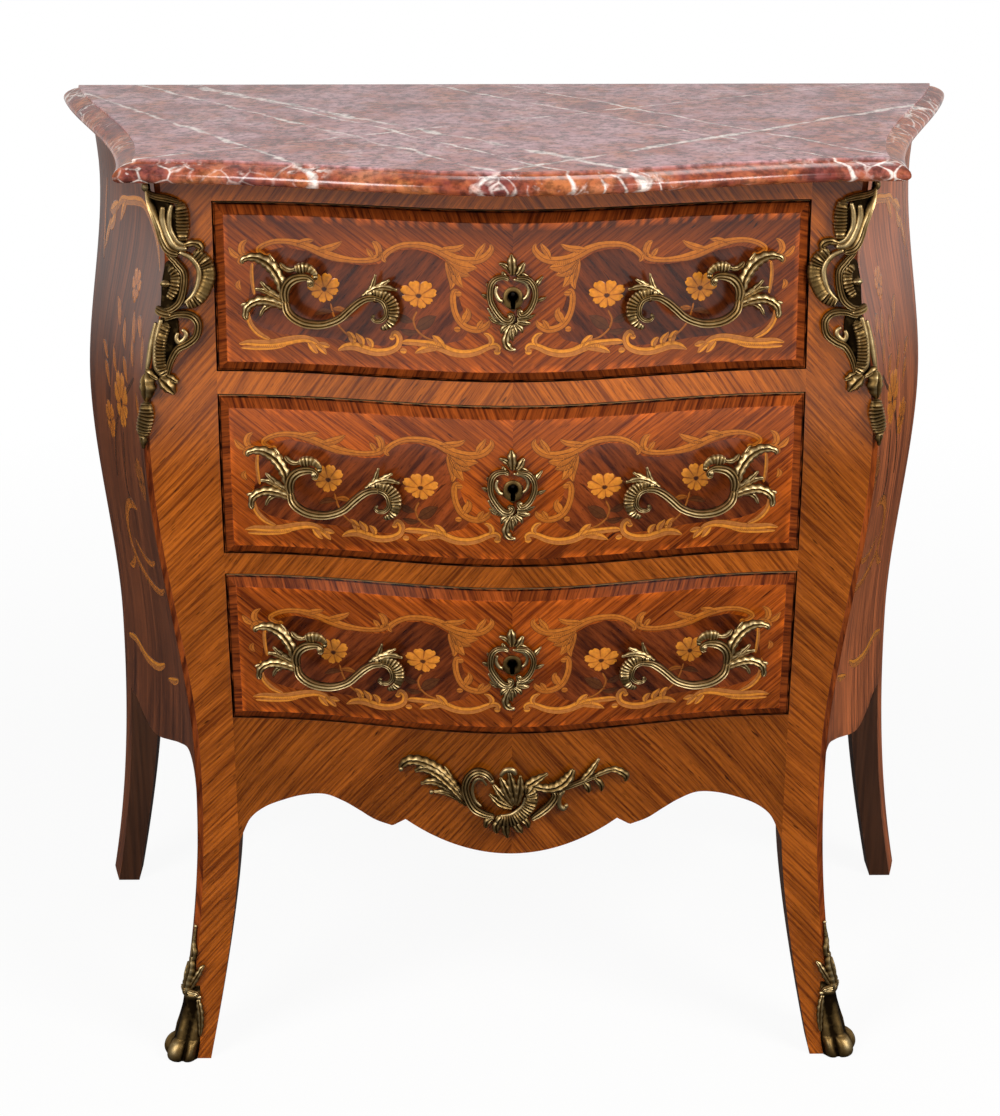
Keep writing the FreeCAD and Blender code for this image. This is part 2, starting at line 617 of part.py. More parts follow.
def cartouche(z_low, front, hole, z):
    """A pierced keyhole plate: two C scrolls, a leaf crest and a leaf drop round a small boss."""
    low = z_low + (OPENING - CARTOUCHE_HIGH) / 2 - CARTOUCHE_DROP
    place = on_front(CARTOUCHE_WIDE / 2, low, -1, FRONT_PROUD)
    cast = casting(place, CARTOUCHE_SHARES, CARTOUCHE_WIDE, CARTOUCHE_HIGH, CARTOUCHE_OUT, CARTOUCHE_BAR)
    face = front_y(0, z) - FRONT_PROUD - CARTOUCHE_PLATE
    plate = Part.makeCylinder(CARTOUCHE_PLATE_R, FRONT_PROUD, V(0, face, z - KEYHOLE_DROP), V(0, 1, 0))
    return biggest(cast.fuse(plate).cut([front, hole]))


def lock(top_z, hole, hole_z):
    """A box lock let into the drawer front, and the bolt that rises behind the rail above it."""
    bolt_y = front_y(0, top_z) + RAIL_DEPTH + BOLT_BEHIND
    front = deepest(0, LOCK_HALF, top_z - LOCK_HIGH, top_z)
    rear = bolt_y + BOLT_THICK + RUN_GAP + LOCK_WALL
    case = box(-LOCK_HALF, LOCK_HALF, front, rear, top_z - LOCK_HIGH, top_z)
    channel = box(-BOLT_HALF - RUN_GAP, BOLT_HALF + RUN_GAP, bolt_y - RUN_GAP, bolt_y + BOLT_THICK + RUN_GAP,
                  top_z - BOLT_LONG - RUN_GAP, top_z)
    way_in = hole.common(box(-LOCK_HALF, LOCK_HALF, -REACH, rear - LOCK_WALL, top_z - LOCK_HIGH, top_z))
    tip = front_y(0, hole_z)
    pin = Part.makeCylinder(KEY_PIN_R, rear - LOCK_WALL - tip, V(0, tip, hole_z), V(0, 1, 0))
    bolt = box(-BOLT_HALF, BOLT_HALF, bolt_y, bolt_y + BOLT_THICK, top_z - BOLT_LONG, top_z)
    return case, case.cut([channel, way_in]).fuse(pin), bolt


def bevelled_front(z0, z1):
    """A raised drawer front: the serpentine field with a bevel all round, on a parallel back."""
    back = V(0, FRONT_THICK, 0)
    rim = front_sheet(FRONT_HALF, z0, z1, 0)
    field = front_sheet(FRONT_HALF - FRONT_BEVEL, z0 + FRONT_BEVEL, z1 - FRONT_BEVEL, FRONT_PROUD)
    inside = rim.copy()
    inside.translate(back)
    faces = [field, inside]
    for inner, outer in zip(field.Edges, rim.Edges):
        faces.append(Part.makeRuledSurface(inner, outer))
        faces.append(outer.extrude(back))
    shell = Part.makeShell(faces)
    shell.sewShape()
    return mend(shell)


def dovetails(base):
    """The tails at the front of a right drawer side, lapped into the drawer front."""
    inner = DRAWER_HALF - DRAWER_SIDE
    tails = []
    for k in range(TAILS):
        z = base + DRAWER_SIDE_HIGH * (k + 1 / 2) / TAILS
        shoulder = front_y(inner, z) + FRONT_THICK
        outline = ((shoulder - TAIL_LONG, TAIL_HALF), (shoulder, TAIL_ROOT_HALF),
                   (shoulder + DRAWER_SIDE, TAIL_ROOT_HALF))
        points = [V(inner, y, z + half) for y, half in outline]
        points += [V(inner, y, z - half) for y, half in reversed(outline)]
        tails.append(prism(Part.makePolygon(points + points[:1]), V(DRAWER_SIDE, 0, 0)))
    return tails


def drawer(name, z_low):
    """One drawer: bevelled front, dovetailed and grooved sides, back, floor, lock and mounts."""
    z0 = z_low + FRONT_GAP
    z1 = z_low + OPENING - FRONT_GAP
    base = z_low + RUN_GAP
    inner = DRAWER_HALF - DRAWER_SIDE
    floor_z = base + DRAWER_FLOOR_RISE
    behind = ahead(z_low - RAIL, z1 + RAIL, FRONT_THICK)
    grooved = ahead(z_low - RAIL, z1 + RAIL, FRONT_THICK - GROOVE)
    floor = box(-inner - GROOVE, inner + GROOVE, -REACH, DRAWER_END, floor_z, floor_z + DRAWER_FLOOR)
    floor = biggest(floor.cut(grooved))
    solid_front = bevelled_front(z0, z1)
    hole, hole_z = keyhole(z_low)
    screws = pull_screws(z_low)
    pocket, case, bolt = lock(z1, hole, hole_z)
    tails = dovetails(base)
    let_in = [floor, hole, pocket] + tails + [mirrored(tail) for tail in tails]
    front = biggest(solid_front.cut(let_in + screws + nut_pockets(screws)))
    side = box(inner, DRAWER_HALF, -REACH, DRAWER_END, base, base + DRAWER_SIDE_HIGH)
    side = biggest(side.cut(behind).multiFuse(tails).cut([floor, front]))
    return {
        name + "_drawer_front": front,
        name + "_drawer_left_side": mirrored(side),
        name + "_drawer_right_side": side,
        name + "_drawer_back": box(-inner, inner, DRAWER_END - DRAWER_BACK, DRAWER_END,
                                   floor_z + DRAWER_FLOOR, base + DRAWER_SIDE_HIGH),
        name + "_drawer_floor": floor,
        name + "_left_pull": pull(-1, z_low, solid_front),
        name + "_right_pull": pull(1, z_low, solid_front),
        name + "_pull_screws": Part.makeCompound(screws),
        name + "_escutcheon": cartouche(z_low, solid_front, hole, hole_z),
        name + "_lock_case": case,
        name + "_lock_bolt": bolt,
    }


def corner_mount(post):
    """A pierced corner mount of shells and C scrolls, with a husk drop."""
    cast = casting(on_corner(CHUTE_LOW_Z), CHUTE_SHARES, CHUTE_WIDE, CHUTE_HIGH, CHUTE_OUT, CHUTE_BAR)
    return biggest(cast.cut(post))


def apron_mount(apron):
    """A spray of scrolls, a shell and leaves on the middle of the apron."""
    place = on_front(-SPRAY_LEFT, SPRAY_LOW_Z, -1, 0)
    cast = casting(place, SPRAY_SHARES, SPRAY_WIDE, SPRAY_HIGH, SPRAY_OUT, SPRAY_BAR)
    return biggest(cast.cut(apron))


def foot_mount(post):
    """A shoe with a rounded toe round the corner of the foot, and a leaf stem up the corner."""
    rings = []
    for rise, skin, width in SABOT_SHARES:
        z = SABOT_HIGH * rise
        front = stile_y(z)
        side = side_x(front, z)
        wide = SABOT_WIDE * width
        out = SABOT_SKIN * skin
        cant = POST_CANT
        plan = ((side - wide, front), (side - wide, front - SABOT_SKIN), (side - cant, front - out),
                (side + out, front + cant), (side + SABOT_SKIN, front + wide), (side, front + wide),
                (side, front + cant), (side - cant, front))
        rings.append([V(x, y, z) for x, y in plan])
    shoe = faceted_loft(rings)
    rows = [(0, STEM_HIGH * rise, SABOT_SKIN / 2, STEM_BAR * width)
            for rise, width in zip(STEM_SHARES, STEM_BAR_SHARES)]
    return biggest(shoe.fuse(arm(on_corner(0), rows)).cut(post))


def carcass():
    """The fixed frame, its panels, runners and mounts."""
    post = loft_rows(front_post_section, steps(0, CARCASS_TOP, POST_ROWS))
    rear = loft_rows(rear_post_section, steps(0, CARCASS_TOP, POST_ROWS))
    panel = biggest(side_panel().cut([post.translated(V(0, GLUE_LINE, 0)), rear]))
    lining = inner_face().extrude(V(-TOP_FRAME_WIDE, 0, 0))
    apron = front_apron([post, mirrored(post)])
    chute = corner_mount(post)
    sabot = foot_mount(post)
    top_low = CARCASS_TOP - TOP_FRAME
    front_face = stile_y(CARCASS_TOP) + POST_DEPTH
    side_rail = box(OPENING_HALF, TOP_WIDTH / 2, front_face, BACK_Y - REAR_POST, top_low, CARCASS_TOP)
    back_wall = box(-REAR_POST_INNER, REAR_POST_INNER, REAR_FACE, BACK_Y, APRON_TOP - BACK_DROP, CARCASS_TOP)
    rear_rail = box(-REAR_POST_INNER, REAR_POST_INNER, BACK_Y - REAR_POST, REAR_FACE, top_low, CARCASS_TOP)
    return {
        "marble_top": marble_top(),
        "left_front_post": mirrored(post),
        "right_front_post": post,
        "left_rear_post": mirrored(rear),
        "right_rear_post": rear,
        "left_side_panel": mirrored(panel),
        "right_side_panel": panel,
        "back_panel": back_wall,
        "rear_top_rail": rear_rail,
        "top_side_rails": pair(biggest(side_rail.common(lining).cut(panel))),
        "front_top_rail": front_rail(CARCASS_TOP - TOP_RAIL, CARCASS_TOP),
        "upper_drawer_rail": front_rail(UPPER_Z - RAIL, UPPER_Z),
        "lower_drawer_rail": front_rail(MIDDLE_Z - RAIL, MIDDLE_Z),
        "front_apron": apron,
        "bottom_board": bottom_board([post, rear]),
        "upper_runners": pair(runner(UPPER_Z)),
        "middle_runners": pair(runner(MIDDLE_Z)),
        "lower_runners": pair(runner(LOWER_Z)),
        "left_corner_mount": mirrored(chute),
        "right_corner_mount": chute,
        "apron_mount": apron_mount(apron),
        "left_foot_mount": mirrored(sabot),
        "right_foot_mount": sabot,
    }


os.makedirs("parts", exist_ok=True)
pieces = carcass()
for drawer_name, drawer_z in (("lower", LOWER_Z), ("middle", MIDDLE_Z), ("upper", UPPER_Z)):
    pieces.update(drawer(drawer_name, drawer_z))
for node, shape in pieces.items():
    shape.exportStep("parts/" + node + ".step")
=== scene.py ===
import math

import bmesh
import bpy
import numpy as np
from bpy.props import FloatProperty, FloatVectorProperty, PointerProperty
from bpy.types import Operator, Panel, PropertyGroup
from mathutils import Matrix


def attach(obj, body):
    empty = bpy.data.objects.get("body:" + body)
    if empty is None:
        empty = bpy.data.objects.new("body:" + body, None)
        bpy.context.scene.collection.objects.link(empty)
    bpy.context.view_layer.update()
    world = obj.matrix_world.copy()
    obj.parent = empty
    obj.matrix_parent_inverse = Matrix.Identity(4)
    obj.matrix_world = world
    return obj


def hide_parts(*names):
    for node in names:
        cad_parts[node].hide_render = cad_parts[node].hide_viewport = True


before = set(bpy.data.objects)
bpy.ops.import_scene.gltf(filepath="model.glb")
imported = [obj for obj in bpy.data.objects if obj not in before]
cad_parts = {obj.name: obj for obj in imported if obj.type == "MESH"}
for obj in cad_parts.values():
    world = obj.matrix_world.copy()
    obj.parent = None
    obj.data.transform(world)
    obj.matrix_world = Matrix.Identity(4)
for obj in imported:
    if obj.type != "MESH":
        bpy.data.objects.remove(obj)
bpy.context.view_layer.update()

bl_info = {
    "name": "Commode chest",
    "version": (1, 0, 0),
    "blender": (4, 5, 0),
    "location": "3D View > Sidebar > Commode",
    "description": "Dresses the commode chest: marble, veneers, inlay and gilt bronze mounts",
    "category": "Object",
}

# Sizes of the case, in millimetres, the same as in the part's source. Only the slab's bow is a hair less than the
# source's 58, because the CAD box is that of a mesh that lies just inside the curve.
HEIGHT, SLAB = 850.0, 18.0
TOP_CORNER_HALF, TOP_CORNER_Y, TOP_REAR_HALF, TOP_BACK_Y, TOP_MIDDLE_Y = 328.0, -173.0, 432.0, 231.0, 30.0
TOP_BOW, TOP_BOW_POWER, EDGE_MOULD = 57.9, 1.2, 15.0
BACK_Y, CARCASS_TOP = 223.0, 832.0
FRONT_FOOT, REAR_FOOT, FOOT_DEPTH = 318.0, 428.0, 390.0
FRONT_CORNER = ((295.0, 288.0), (612.0, 316.0), (769.0, 292.0), (832.0, 299.0))
REAR_CORNER = ((295.0, 403.0), (550.0, 422.0), (769.0, 400.0), (832.0, 404.0))
DEPTHS = ((215.0, 366.0), (570.0, 388.0), (832.0, 368.0))
FLARE_POWER, SIDE_POWER, LEG_POWER = 2.3, 1.7, 1.35
FRONT_BOW, BOW_HALF, BOW_POWER = 39.0, 300.0, 1.6
OPENING_HALF, OPENING = 250.7, 143.333
LEVELS = {"lower": 344.0, "middle": 506.833, "upper": 669.667}
RAIL, TOP_RAIL, RAIL_DEPTH, APRON_DEPTH, APRON_TOP = 19.5, 19.0, 18.0, 22.0, 344.0
POST_DEPTH, POST_CANT, LEG_FOOT_INNER, LEG_FOOT_DEPTH, LEG_TOP = 46.0, 6.0, 283.0, 36.0, 213.0
REAR_POST, REAR_POST_INNER, REAR_FOOT_INNER, REAR_LEG_TOP = 34.0, 366.0, 397.0, 205.0
SIDE_THICK, SIDE_LOW, SIDE_ARCH = 18.0, 218.0, 44.0
FRONT_GAP, FRONT_THICK, FRONT_PROUD, FRONT_BEVEL = 1.2, 15.0, 7.0, 9.0
CORNER_ROUND = 10.0
SIDES = (("left", -1), ("right", 1))
# Which way the grain runs, in degrees above the way out from the middle
LEVEL, UPRIGHT, FIELD_LEAN, STILE_LEAN, RAIL_LEAN, GROUND_LEAN = 0, 90, 42, 134, 125, 128
# How far along its grain a leaf of veneer is cut: left and right of the middle, and inside the scrolls
LEAF_SHIFTS, GROUND_SHIFT = (0.0, 370.0), 90.0
# How light each drawer's two leaves of veneer are, left and right: partly the leaves' own tone and partly painted light
LEAF_TONE_AND_LIGHT = {"lower": (0.9, 0.94), "middle": (1.08, 1.0), "upper": (0.86, 0.66)}
# and how light they are at the foot and at the top, against the middle, which lies between the two inner shares:
# painted shade under the slab and low on the fronts
LEAF_END_SHADE = {"lower": (0.66, 0.95), "middle": (0.58, 0.92), "upper": (1.0, 0.42)}
LEAF_END_SHARES = (0.0, 0.25, 0.78, 1.0)
# How light a bevel is from its arris to the gap round the drawer: a painted highlight along the arris, and painted
# shadow with dirt in the gap
BEVEL_SHARES = (0.0, 0.12, 0.5, 0.82, 0.85, 1.0)
BEVEL_HIGHLIGHT_AND_SHADOW = (1.5, 1.0, 1.0, 0.9, 0.08, 0.03)
# How light the left and the right side are: painted light, the right side made lighter as if more light fell on it
SIDE_PAINTED_LIGHT = (1.0, 2.4)
KEYHOLE_RISE, KEYHOLE_R, KEYHOLE_SLOT, KEYHOLE_LONG = 73.5, 4.0, 1.8, 11.0
# The prism that cuts a keyhole: its sides, and how far it reaches before and behind the front
KEYHOLE_SIDES, KEYHOLE_REACH = 48, 30.0
# Where each mount's outer end and foot are, and how many times its table's widths its arms are
PULL_END, PULL_RISE, PULL_STOUT = 227.0, 38.67, 1.22
PLATE_END, PLATE_RISE, PLATE_STOUT, PLATE_HOLE = 25.0, 30.17, 1.28, 43.3
SPRAY_END, SPRAY_LOW, SPRAY_STOUT = 101.0, 241.0, 1.25
CHUTE_LOW, CHUTE_STOUT = 603.0, 1.42
# How bright the corner mounts and the apron spray are against the other castings: a painted shade that darkens them
MOUNT_SHADE = 0.8
# Length of a leaf's ruffle and of a rib, and how far apart the rows of a cast arm and of a ribbon of inlay are
RUFFLE, RIB, ARM_STEP, RIBBON_STEP = 6.5, 2.9, 1.15, 1.6
# Inlay: how many times its table's widths it is, how deep its rim is sunk, and which ribbons have an engraved line
DRAWER_INLAY_WIDTH, SIDE_INLAY_WIDTH, INLAY_SUNK, ENGRAVED_FROM, ENGRAVED_HALF = 1.22, 1.6, -0.15, 1.7, 0.2
# Border points nearer than this are merged, in metres
MERGED = 3e-6
# The studio, in metres: half the floor, each softbox's place and power, their size and aim, and the camera
FLOOR_HALF = 30.0
SOFTBOXES = (("left_softbox", (-1.8, -1.8, 2.1), 76.0), ("right_softbox", (2.0, -1.5, 2.1), 80.0),
             ("back_softbox", (0.4, 2.0, 3.4), 16.0))
SOFTBOX_SIZE, LIGHT_AIM = 1.3, (0.0, 0.0, 0.45)
CAMERA_LENS, CAMERA_SENSOR = 75.8, 36.0
CAMERA_PLACE, CAMERA_TURN = (-0.036, -2.088, 1.213), (math.radians(69.7), 0.0, -0.0134)

# The marble's edge, as shares of the slab (drop) and of the moulding (inset)
EDGE_SHARES = ((1.0, 0.42), (0.97, 0.28), (0.9, 0.14), (0.82, 0.05), (0.74, 0.0), (0.63, 0.01), (0.52, 0.06),
               (0.42, 0.17), (0.33, 0.32), (0.26, 0.5), (0.2, 0.68), (0.165, 0.86), (0.15, 0.97), (0.13, 1.0),
               (0.04, 1.0), (0.0, 1.05))
# Lower edge of the apron, from the leg to the middle: half width and height
APRON_LEG = ((250.7, 213.0), (246.0, 226.0), (238.6, 241.0), (226.0, 252.0), (210.4, 259.5), (190.0, 266.5),
             (170.0, 269.0), (153.0, 263.5), (139.0, 256.0), (124.0, 247.5), (108.0, 243.0), (96.0, 251.0))
APRON_LOBE_Z, APRON_NOTCH_Z, APRON_LOBE_HALF = 222.0, 251.0, 96.0
# Lower edge of a side: share of the depth and of the arch
SIDE_EDGE_SHARES = ((0.0, 0.1), (0.08, 0.72), (0.2, 0.98), (0.34, 0.73), (0.48, 0.39), (0.6, 0.11), (0.7, 0.0),
                    (0.82, 0.11), (0.91, 0.25), (1.0, 0.2))

# Arms of the castings, in millimetres: section, distance out of the face, half width, and points (along, up); or
# section, and rows of (along, up, out, half width)
PULL_ARMS = (
    ("band", ((39, 25.5, 17, 2.6), (38, 33.5, 17, 3.2), (40, 40.5, 17, 3.4), (45, 45.5, 17, 3.4), (51, 47.5, 17, 3),
        (57, 47.5, 17, 2.4), (61, 44.5, 17, 1.9), (60, 41.5, 17, 1.6), (57, 42.5, 18, 1.4))),
    ("ribbed", ((64, 45, 15, 1.2), (63, 51, 15, 2.2), (58, 55, 15, 3.2), (52, 55, 15, 3.8), (46, 53.5, 15, 2.6))),
    ("leaf", ((48, 54, 15, 1.8), (42, 53, 15, 1.9), (37, 55, 14, 2), (34, 58.5, 13, 0.8))),
    ("band", ((38, 27.5, 17, 2.8), (40, 20, 19, 3.2), (46, 14.5, 21, 3.3), (55, 11, 22, 3.3), (67, 10.5, 23, 3.1),
        (77, 13, 23, 2.9), (85, 17, 22, 2.9), (92, 23, 19, 2.9), (99, 28.5, 16, 2.9), (106, 32, 14, 2.6),
        (114, 32.5, 12, 2.2))),
    ("leaf", ((38, 25.5, 16, 2.4), (36, 37, 15, 3.4), (32, 47.5, 13, 4.2), (25, 56.5, 12, 4.4), (16, 61.5, 12, 3.6),
        (8, 62, 13, 2.6), (3, 60, 14, 1.9), (3.5, 57, 15, 1.5))),
    ("leaf", ((37, 31, 15, 1.8), (35, 42.5, 13, 2.2), (31, 54.5, 12, 1.9), (25, 65.5, 13, 0.7))),
    ("leaf", ((38, 26, 15, 1.8), (31, 30.5, 12, 2.4), (23, 36, 11, 2.2), (17, 42.5, 12, 0.8))),
    ("leaf", ((37, 27, 14, 1.8), (27, 31.5, 11, 2.4), (19, 34.5, 10, 2), (12, 35.5, 11, 0.8))),
    ("leaf", ((40, 21.5, 16, 2.4), (31, 24.5, 13, 3.4), (21, 26, 11, 3.6), (13, 25, 11, 3.2), (6, 20.5, 12, 2.8),
        (4, 13.5, 13, 2.1), (6, 10.5, 14, 1.5))),
    ("leaf", ((39, 22, 15, 1.8), (28, 23.5, 12, 2.2), (20, 19.5, 11, 2), (16, 12.5, 12, 0.8))),
    ("leaf", ((22, 24, 11, 1.6), (11, 23.5, 10, 2.2), (0, 22, 11, 0.8))),
    ("band", ((103, 30.5, 13, 1.8), (112, 32, 11, 2), (119, 29.5, 10, 2), (122, 24, 10, 2), (122, 18, 10, 1.9),
        (118, 13.5, 10, 1.7), (113, 13, 10, 1.5), (110.5, 16, 11, 1.2), (113, 18.5, 12, 1))),
    ("ribbed", ((104, 34, 12, 1.4), (113, 36.5, 10, 2.4), (122, 34, 9, 3.2), (127.5, 27.5, 8, 3.7),
        (128.5, 19.5, 8, 3.7), (126, 12, 8, 3.2), (121, 7.5, 8, 2.2), (117, 6.5, 8, 1))),
    ("leaf", ((102, 32.5, 12, 1.6), (112, 39, 10, 2.6), (121, 41, 9, 2.4), (132, 39, 9, 0.8))),
    ("leaf", ((110, 37, 10, 1.5), (118, 42.5, 9, 2.2), (126, 47.5, 9, 0.8))),
    ("leaf", ((107, 34, 11, 1.4), (111, 42, 10, 1.9), (114, 52, 10, 0.7))),
    ("stem", ((20.5, 54.5, 0, 3.2), (20.5, 57, 7, 3), (20.5, 59, 11, 2.6))),
    ("stem", ((113, 28.5, 0, 3.2), (113, 31, 6, 3), (113, 33, 10, 2.4))),
    ("ball", ((109, 36, 13, 1.8),)),
    ("ball", ((58.5, 44.5, 18.5, 2),)),
)
CARTOUCHE_ARMS = (
    ("band", 4.5, 2.2, ((22, 58), (17.5, 60), (11.5, 59), (7.5, 55), (6, 48.5), (6.5, 40.5), (10, 33.5), (14.5, 27.5),
        (18.5, 24.5), (22.5, 24.5), (24.5, 27.5), (22.5, 29), (20.5, 27.5))),
    ("stem", 3, 1.1, ((4, 35), (9, 26.5), (15, 21.5), (21.5, 21), (25.5, 25), (25.5, 29))),
    ("band", 4.5, 2.1, ((27.5, 59), (32, 59.5), (38, 58), (42, 53), (43.5, 47), (42.5, 40.5), (39.5, 34), (35.5, 30),
        (31.5, 29), (30, 32), (32.5, 33))),
    ("stem", 3.2, 1.2, ((25, 58), (29.5, 57), (35, 55), (38, 49.5), (36.5, 44), (33, 41))),
    ("stem", 3.2, 1.4, ((12, 53), (10.5, 47), (13.5, 41), (17, 40))),
    ("leaf", 4, 3, ((24.5, 61), (24.5, 67.5), (24, 73.5), (23.5, 79))),
    ("leaf", 3.4, 1.8, ((22.5, 63.5), (20.5, 67.5), (17, 70), (13, 71))),
    ("leaf", 3.8, 2.4, ((27.5, 61), (31, 65), (32.5, 68.5), (34.5, 72))),
    ("leaf", 3, 1.2, ((28, 60.5), (33, 62), (39, 59.5))),
    ("leaf", 3, 1.8, ((19, 59.5), (17.5, 62), (16, 64.5))),
    ("leaf", 3, 1.7, ((42.5, 50), (46, 55.5), (50, 60.5))),
    ("leaf", 3, 1.4, ((42.5, 39), (48, 41), (53, 43))),
    ("leaf", 3, 1.4, ((7, 40), (2, 44), (-1.5, 45.5))),
    ("leaf", 3, 1.2, ((6.5, 49.5), (4.5, 52.5), (3, 55))),
    ("leaf", 3.2, 1.6, ((15, 21), (9, 24), (4.5, 27.5))),
    ("leaf", 3.2, 1.6, ((27.5, 25.5), (36.5, 26), (44, 29))),
    ("leaf", 3.2, 2, ((27.5, 23.5), (35.5, 22), (40, 22))),
    ("leaf", 3.2, 1.8, ((26, 22), (31.5, 17.5), (33, 13.5))),
    ("leaf", 3.2, 1.6, ((25, 21.5), (27, 15), (27.5, 11))),
    ("leaf", 3.2, 2, ((22.5, 21.5), (17, 17.5), (15, 13))),
    ("leaf", 3.6, 2.7, ((23.5, 21), (20, 13), (19, 6), (22, 1.5), (26, 0))),
    ("leaf", 3.8, 1.8, ((24, 18.5), (24, 12), (25, 7))),
    ("ball", ((26, 0, 3.6, 1.5),)),
    ("ball", ((22.5, 27.5, 5.2, 1.3),)),
    ("ball", ((32, 32, 5.2, 1.2),)),
)
SPRAY_ARMS = (
    ("leaf", 4, 4, ((60.5, 37.5), (51.5, 48.5), (43, 59), (33, 67.5), (20.5, 73), (9.5, 73), (3, 67.5), (2, 63.5))),
    ("leaf", 4.4, 4.2, ((59, 36), (46, 51.5), (34.5, 62.5), (23.5, 67), (14, 62.5))),
    ("leaf", 4, 3.2, ((58, 35.5), (43, 49), (30.5, 54), (19, 50))),
    ("leaf", 3.6, 2.2, ((60.5, 31), (48.5, 40), (38.5, 43.5), (29, 42.5))),
    ("leaf", 3.6, 1.7, ((51.5, 48.5), (45, 61.5), (40.5, 70))),
    ("band", 5.2, 3, ((84, 57.5), (78.5, 64.5), (70.5, 67), (63, 61.5), (59.5, 50.5), (62, 38.5), (67.5, 29), (76, 24),
        (85.5, 21.5))),
    ("stem", 4.6, 1.4, ((79, 52.5), (74, 59), (68.5, 57.5), (65.5, 48.5), (67.5, 37.5), (74, 30.5))),
    ("leaf", 6, 3.4, ((102, 31), (90.5, 36), (80.5, 45))),
    ("leaf", 6.2, 3.6, ((102, 33), (92, 44.5), (84, 55))),
    ("leaf", 6.4, 3.8, ((103, 33.5), (96.5, 49), (90.5, 62.5))),
    ("leaf", 6.4, 3.8, ((103.5, 33.5), (101.5, 51), (98.5, 68))),
    ("leaf", 6.2, 3.6, ((104.5, 33), (108, 49), (108.5, 64))),
    ("stem", 6.4, 2, ((90.5, 63), (95.5, 69), (102, 69), (104.5, 64))),
    ("ribbed", 5.6, 4.6, ((86.5, 21.5), (93, 18), (103.5, 19.5), (114, 28), (119, 39), (117, 48.5), (111, 50))),
    ("stem", 6.2, 1.6, ((90.5, 22), (102, 24.5), (111, 33), (113, 42))),
    ("band", 4.8, 3, ((118, 18.5), (125.5, 24), (134, 31), (140, 40), (138.5, 46))),
    ("leaf", 5, 3.6, ((111, 50), (121, 57), (133.5, 64.5))),
    ("leaf", 5, 4.2, ((118, 52.5), (134, 49), (145.5, 52.5), (153, 60.5), (156, 67.5))),
    ("stem", 4.4, 2, ((148.5, 46), (143.5, 39.5), (143.5, 31), (147.5, 27), (150, 30))),
    ("band", 4.2, 2.2, ((137, 45), (153, 50), (164.5, 54), (177.5, 58))),
    ("leaf", 4, 2.7, ((163, 53.5), (171.5, 62.5), (179.5, 75.5))),
    ("leaf", 4, 2.8, ((174.5, 57.5), (190.5, 62.5), (199, 59.5), (204.5, 54), (203, 48.5))),
    ("leaf", 3.6, 2.5, ((164.5, 53.5), (169.5, 46.5), (170.5, 40.5))),
    ("leaf", 3.6, 2.5, ((174.5, 56.5), (181, 48.5), (182, 40.5))),
    ("leaf", 3.8, 2.8, ((85, 20.5), (79, 15.5), (77.5, 8.5))),
    ("leaf", 4.2, 3.2, ((90.5, 19), (87, 10.5), (88, 3.5))),
    ("leaf", 4.4, 3.2, ((96.5, 18), (95.5, 8.5), (97.5, -1))),
    ("leaf", 4.4, 3.2, ((101.5, 19), (106.5, 10), (111, 4))),
    ("leaf", 4, 2.8, ((106.5, 21), (114, 15.5), (116.5, 8.5))),
    ("ball", ((2, 63.5, 4.6, 2.2),)),
    ("ball", ((29, 42.5, 4.4, 2),)),
    ("ball", ((83.5, 57, 5.4, 2),)),
    ("ball", ((150, 30, 5, 2),)),
)
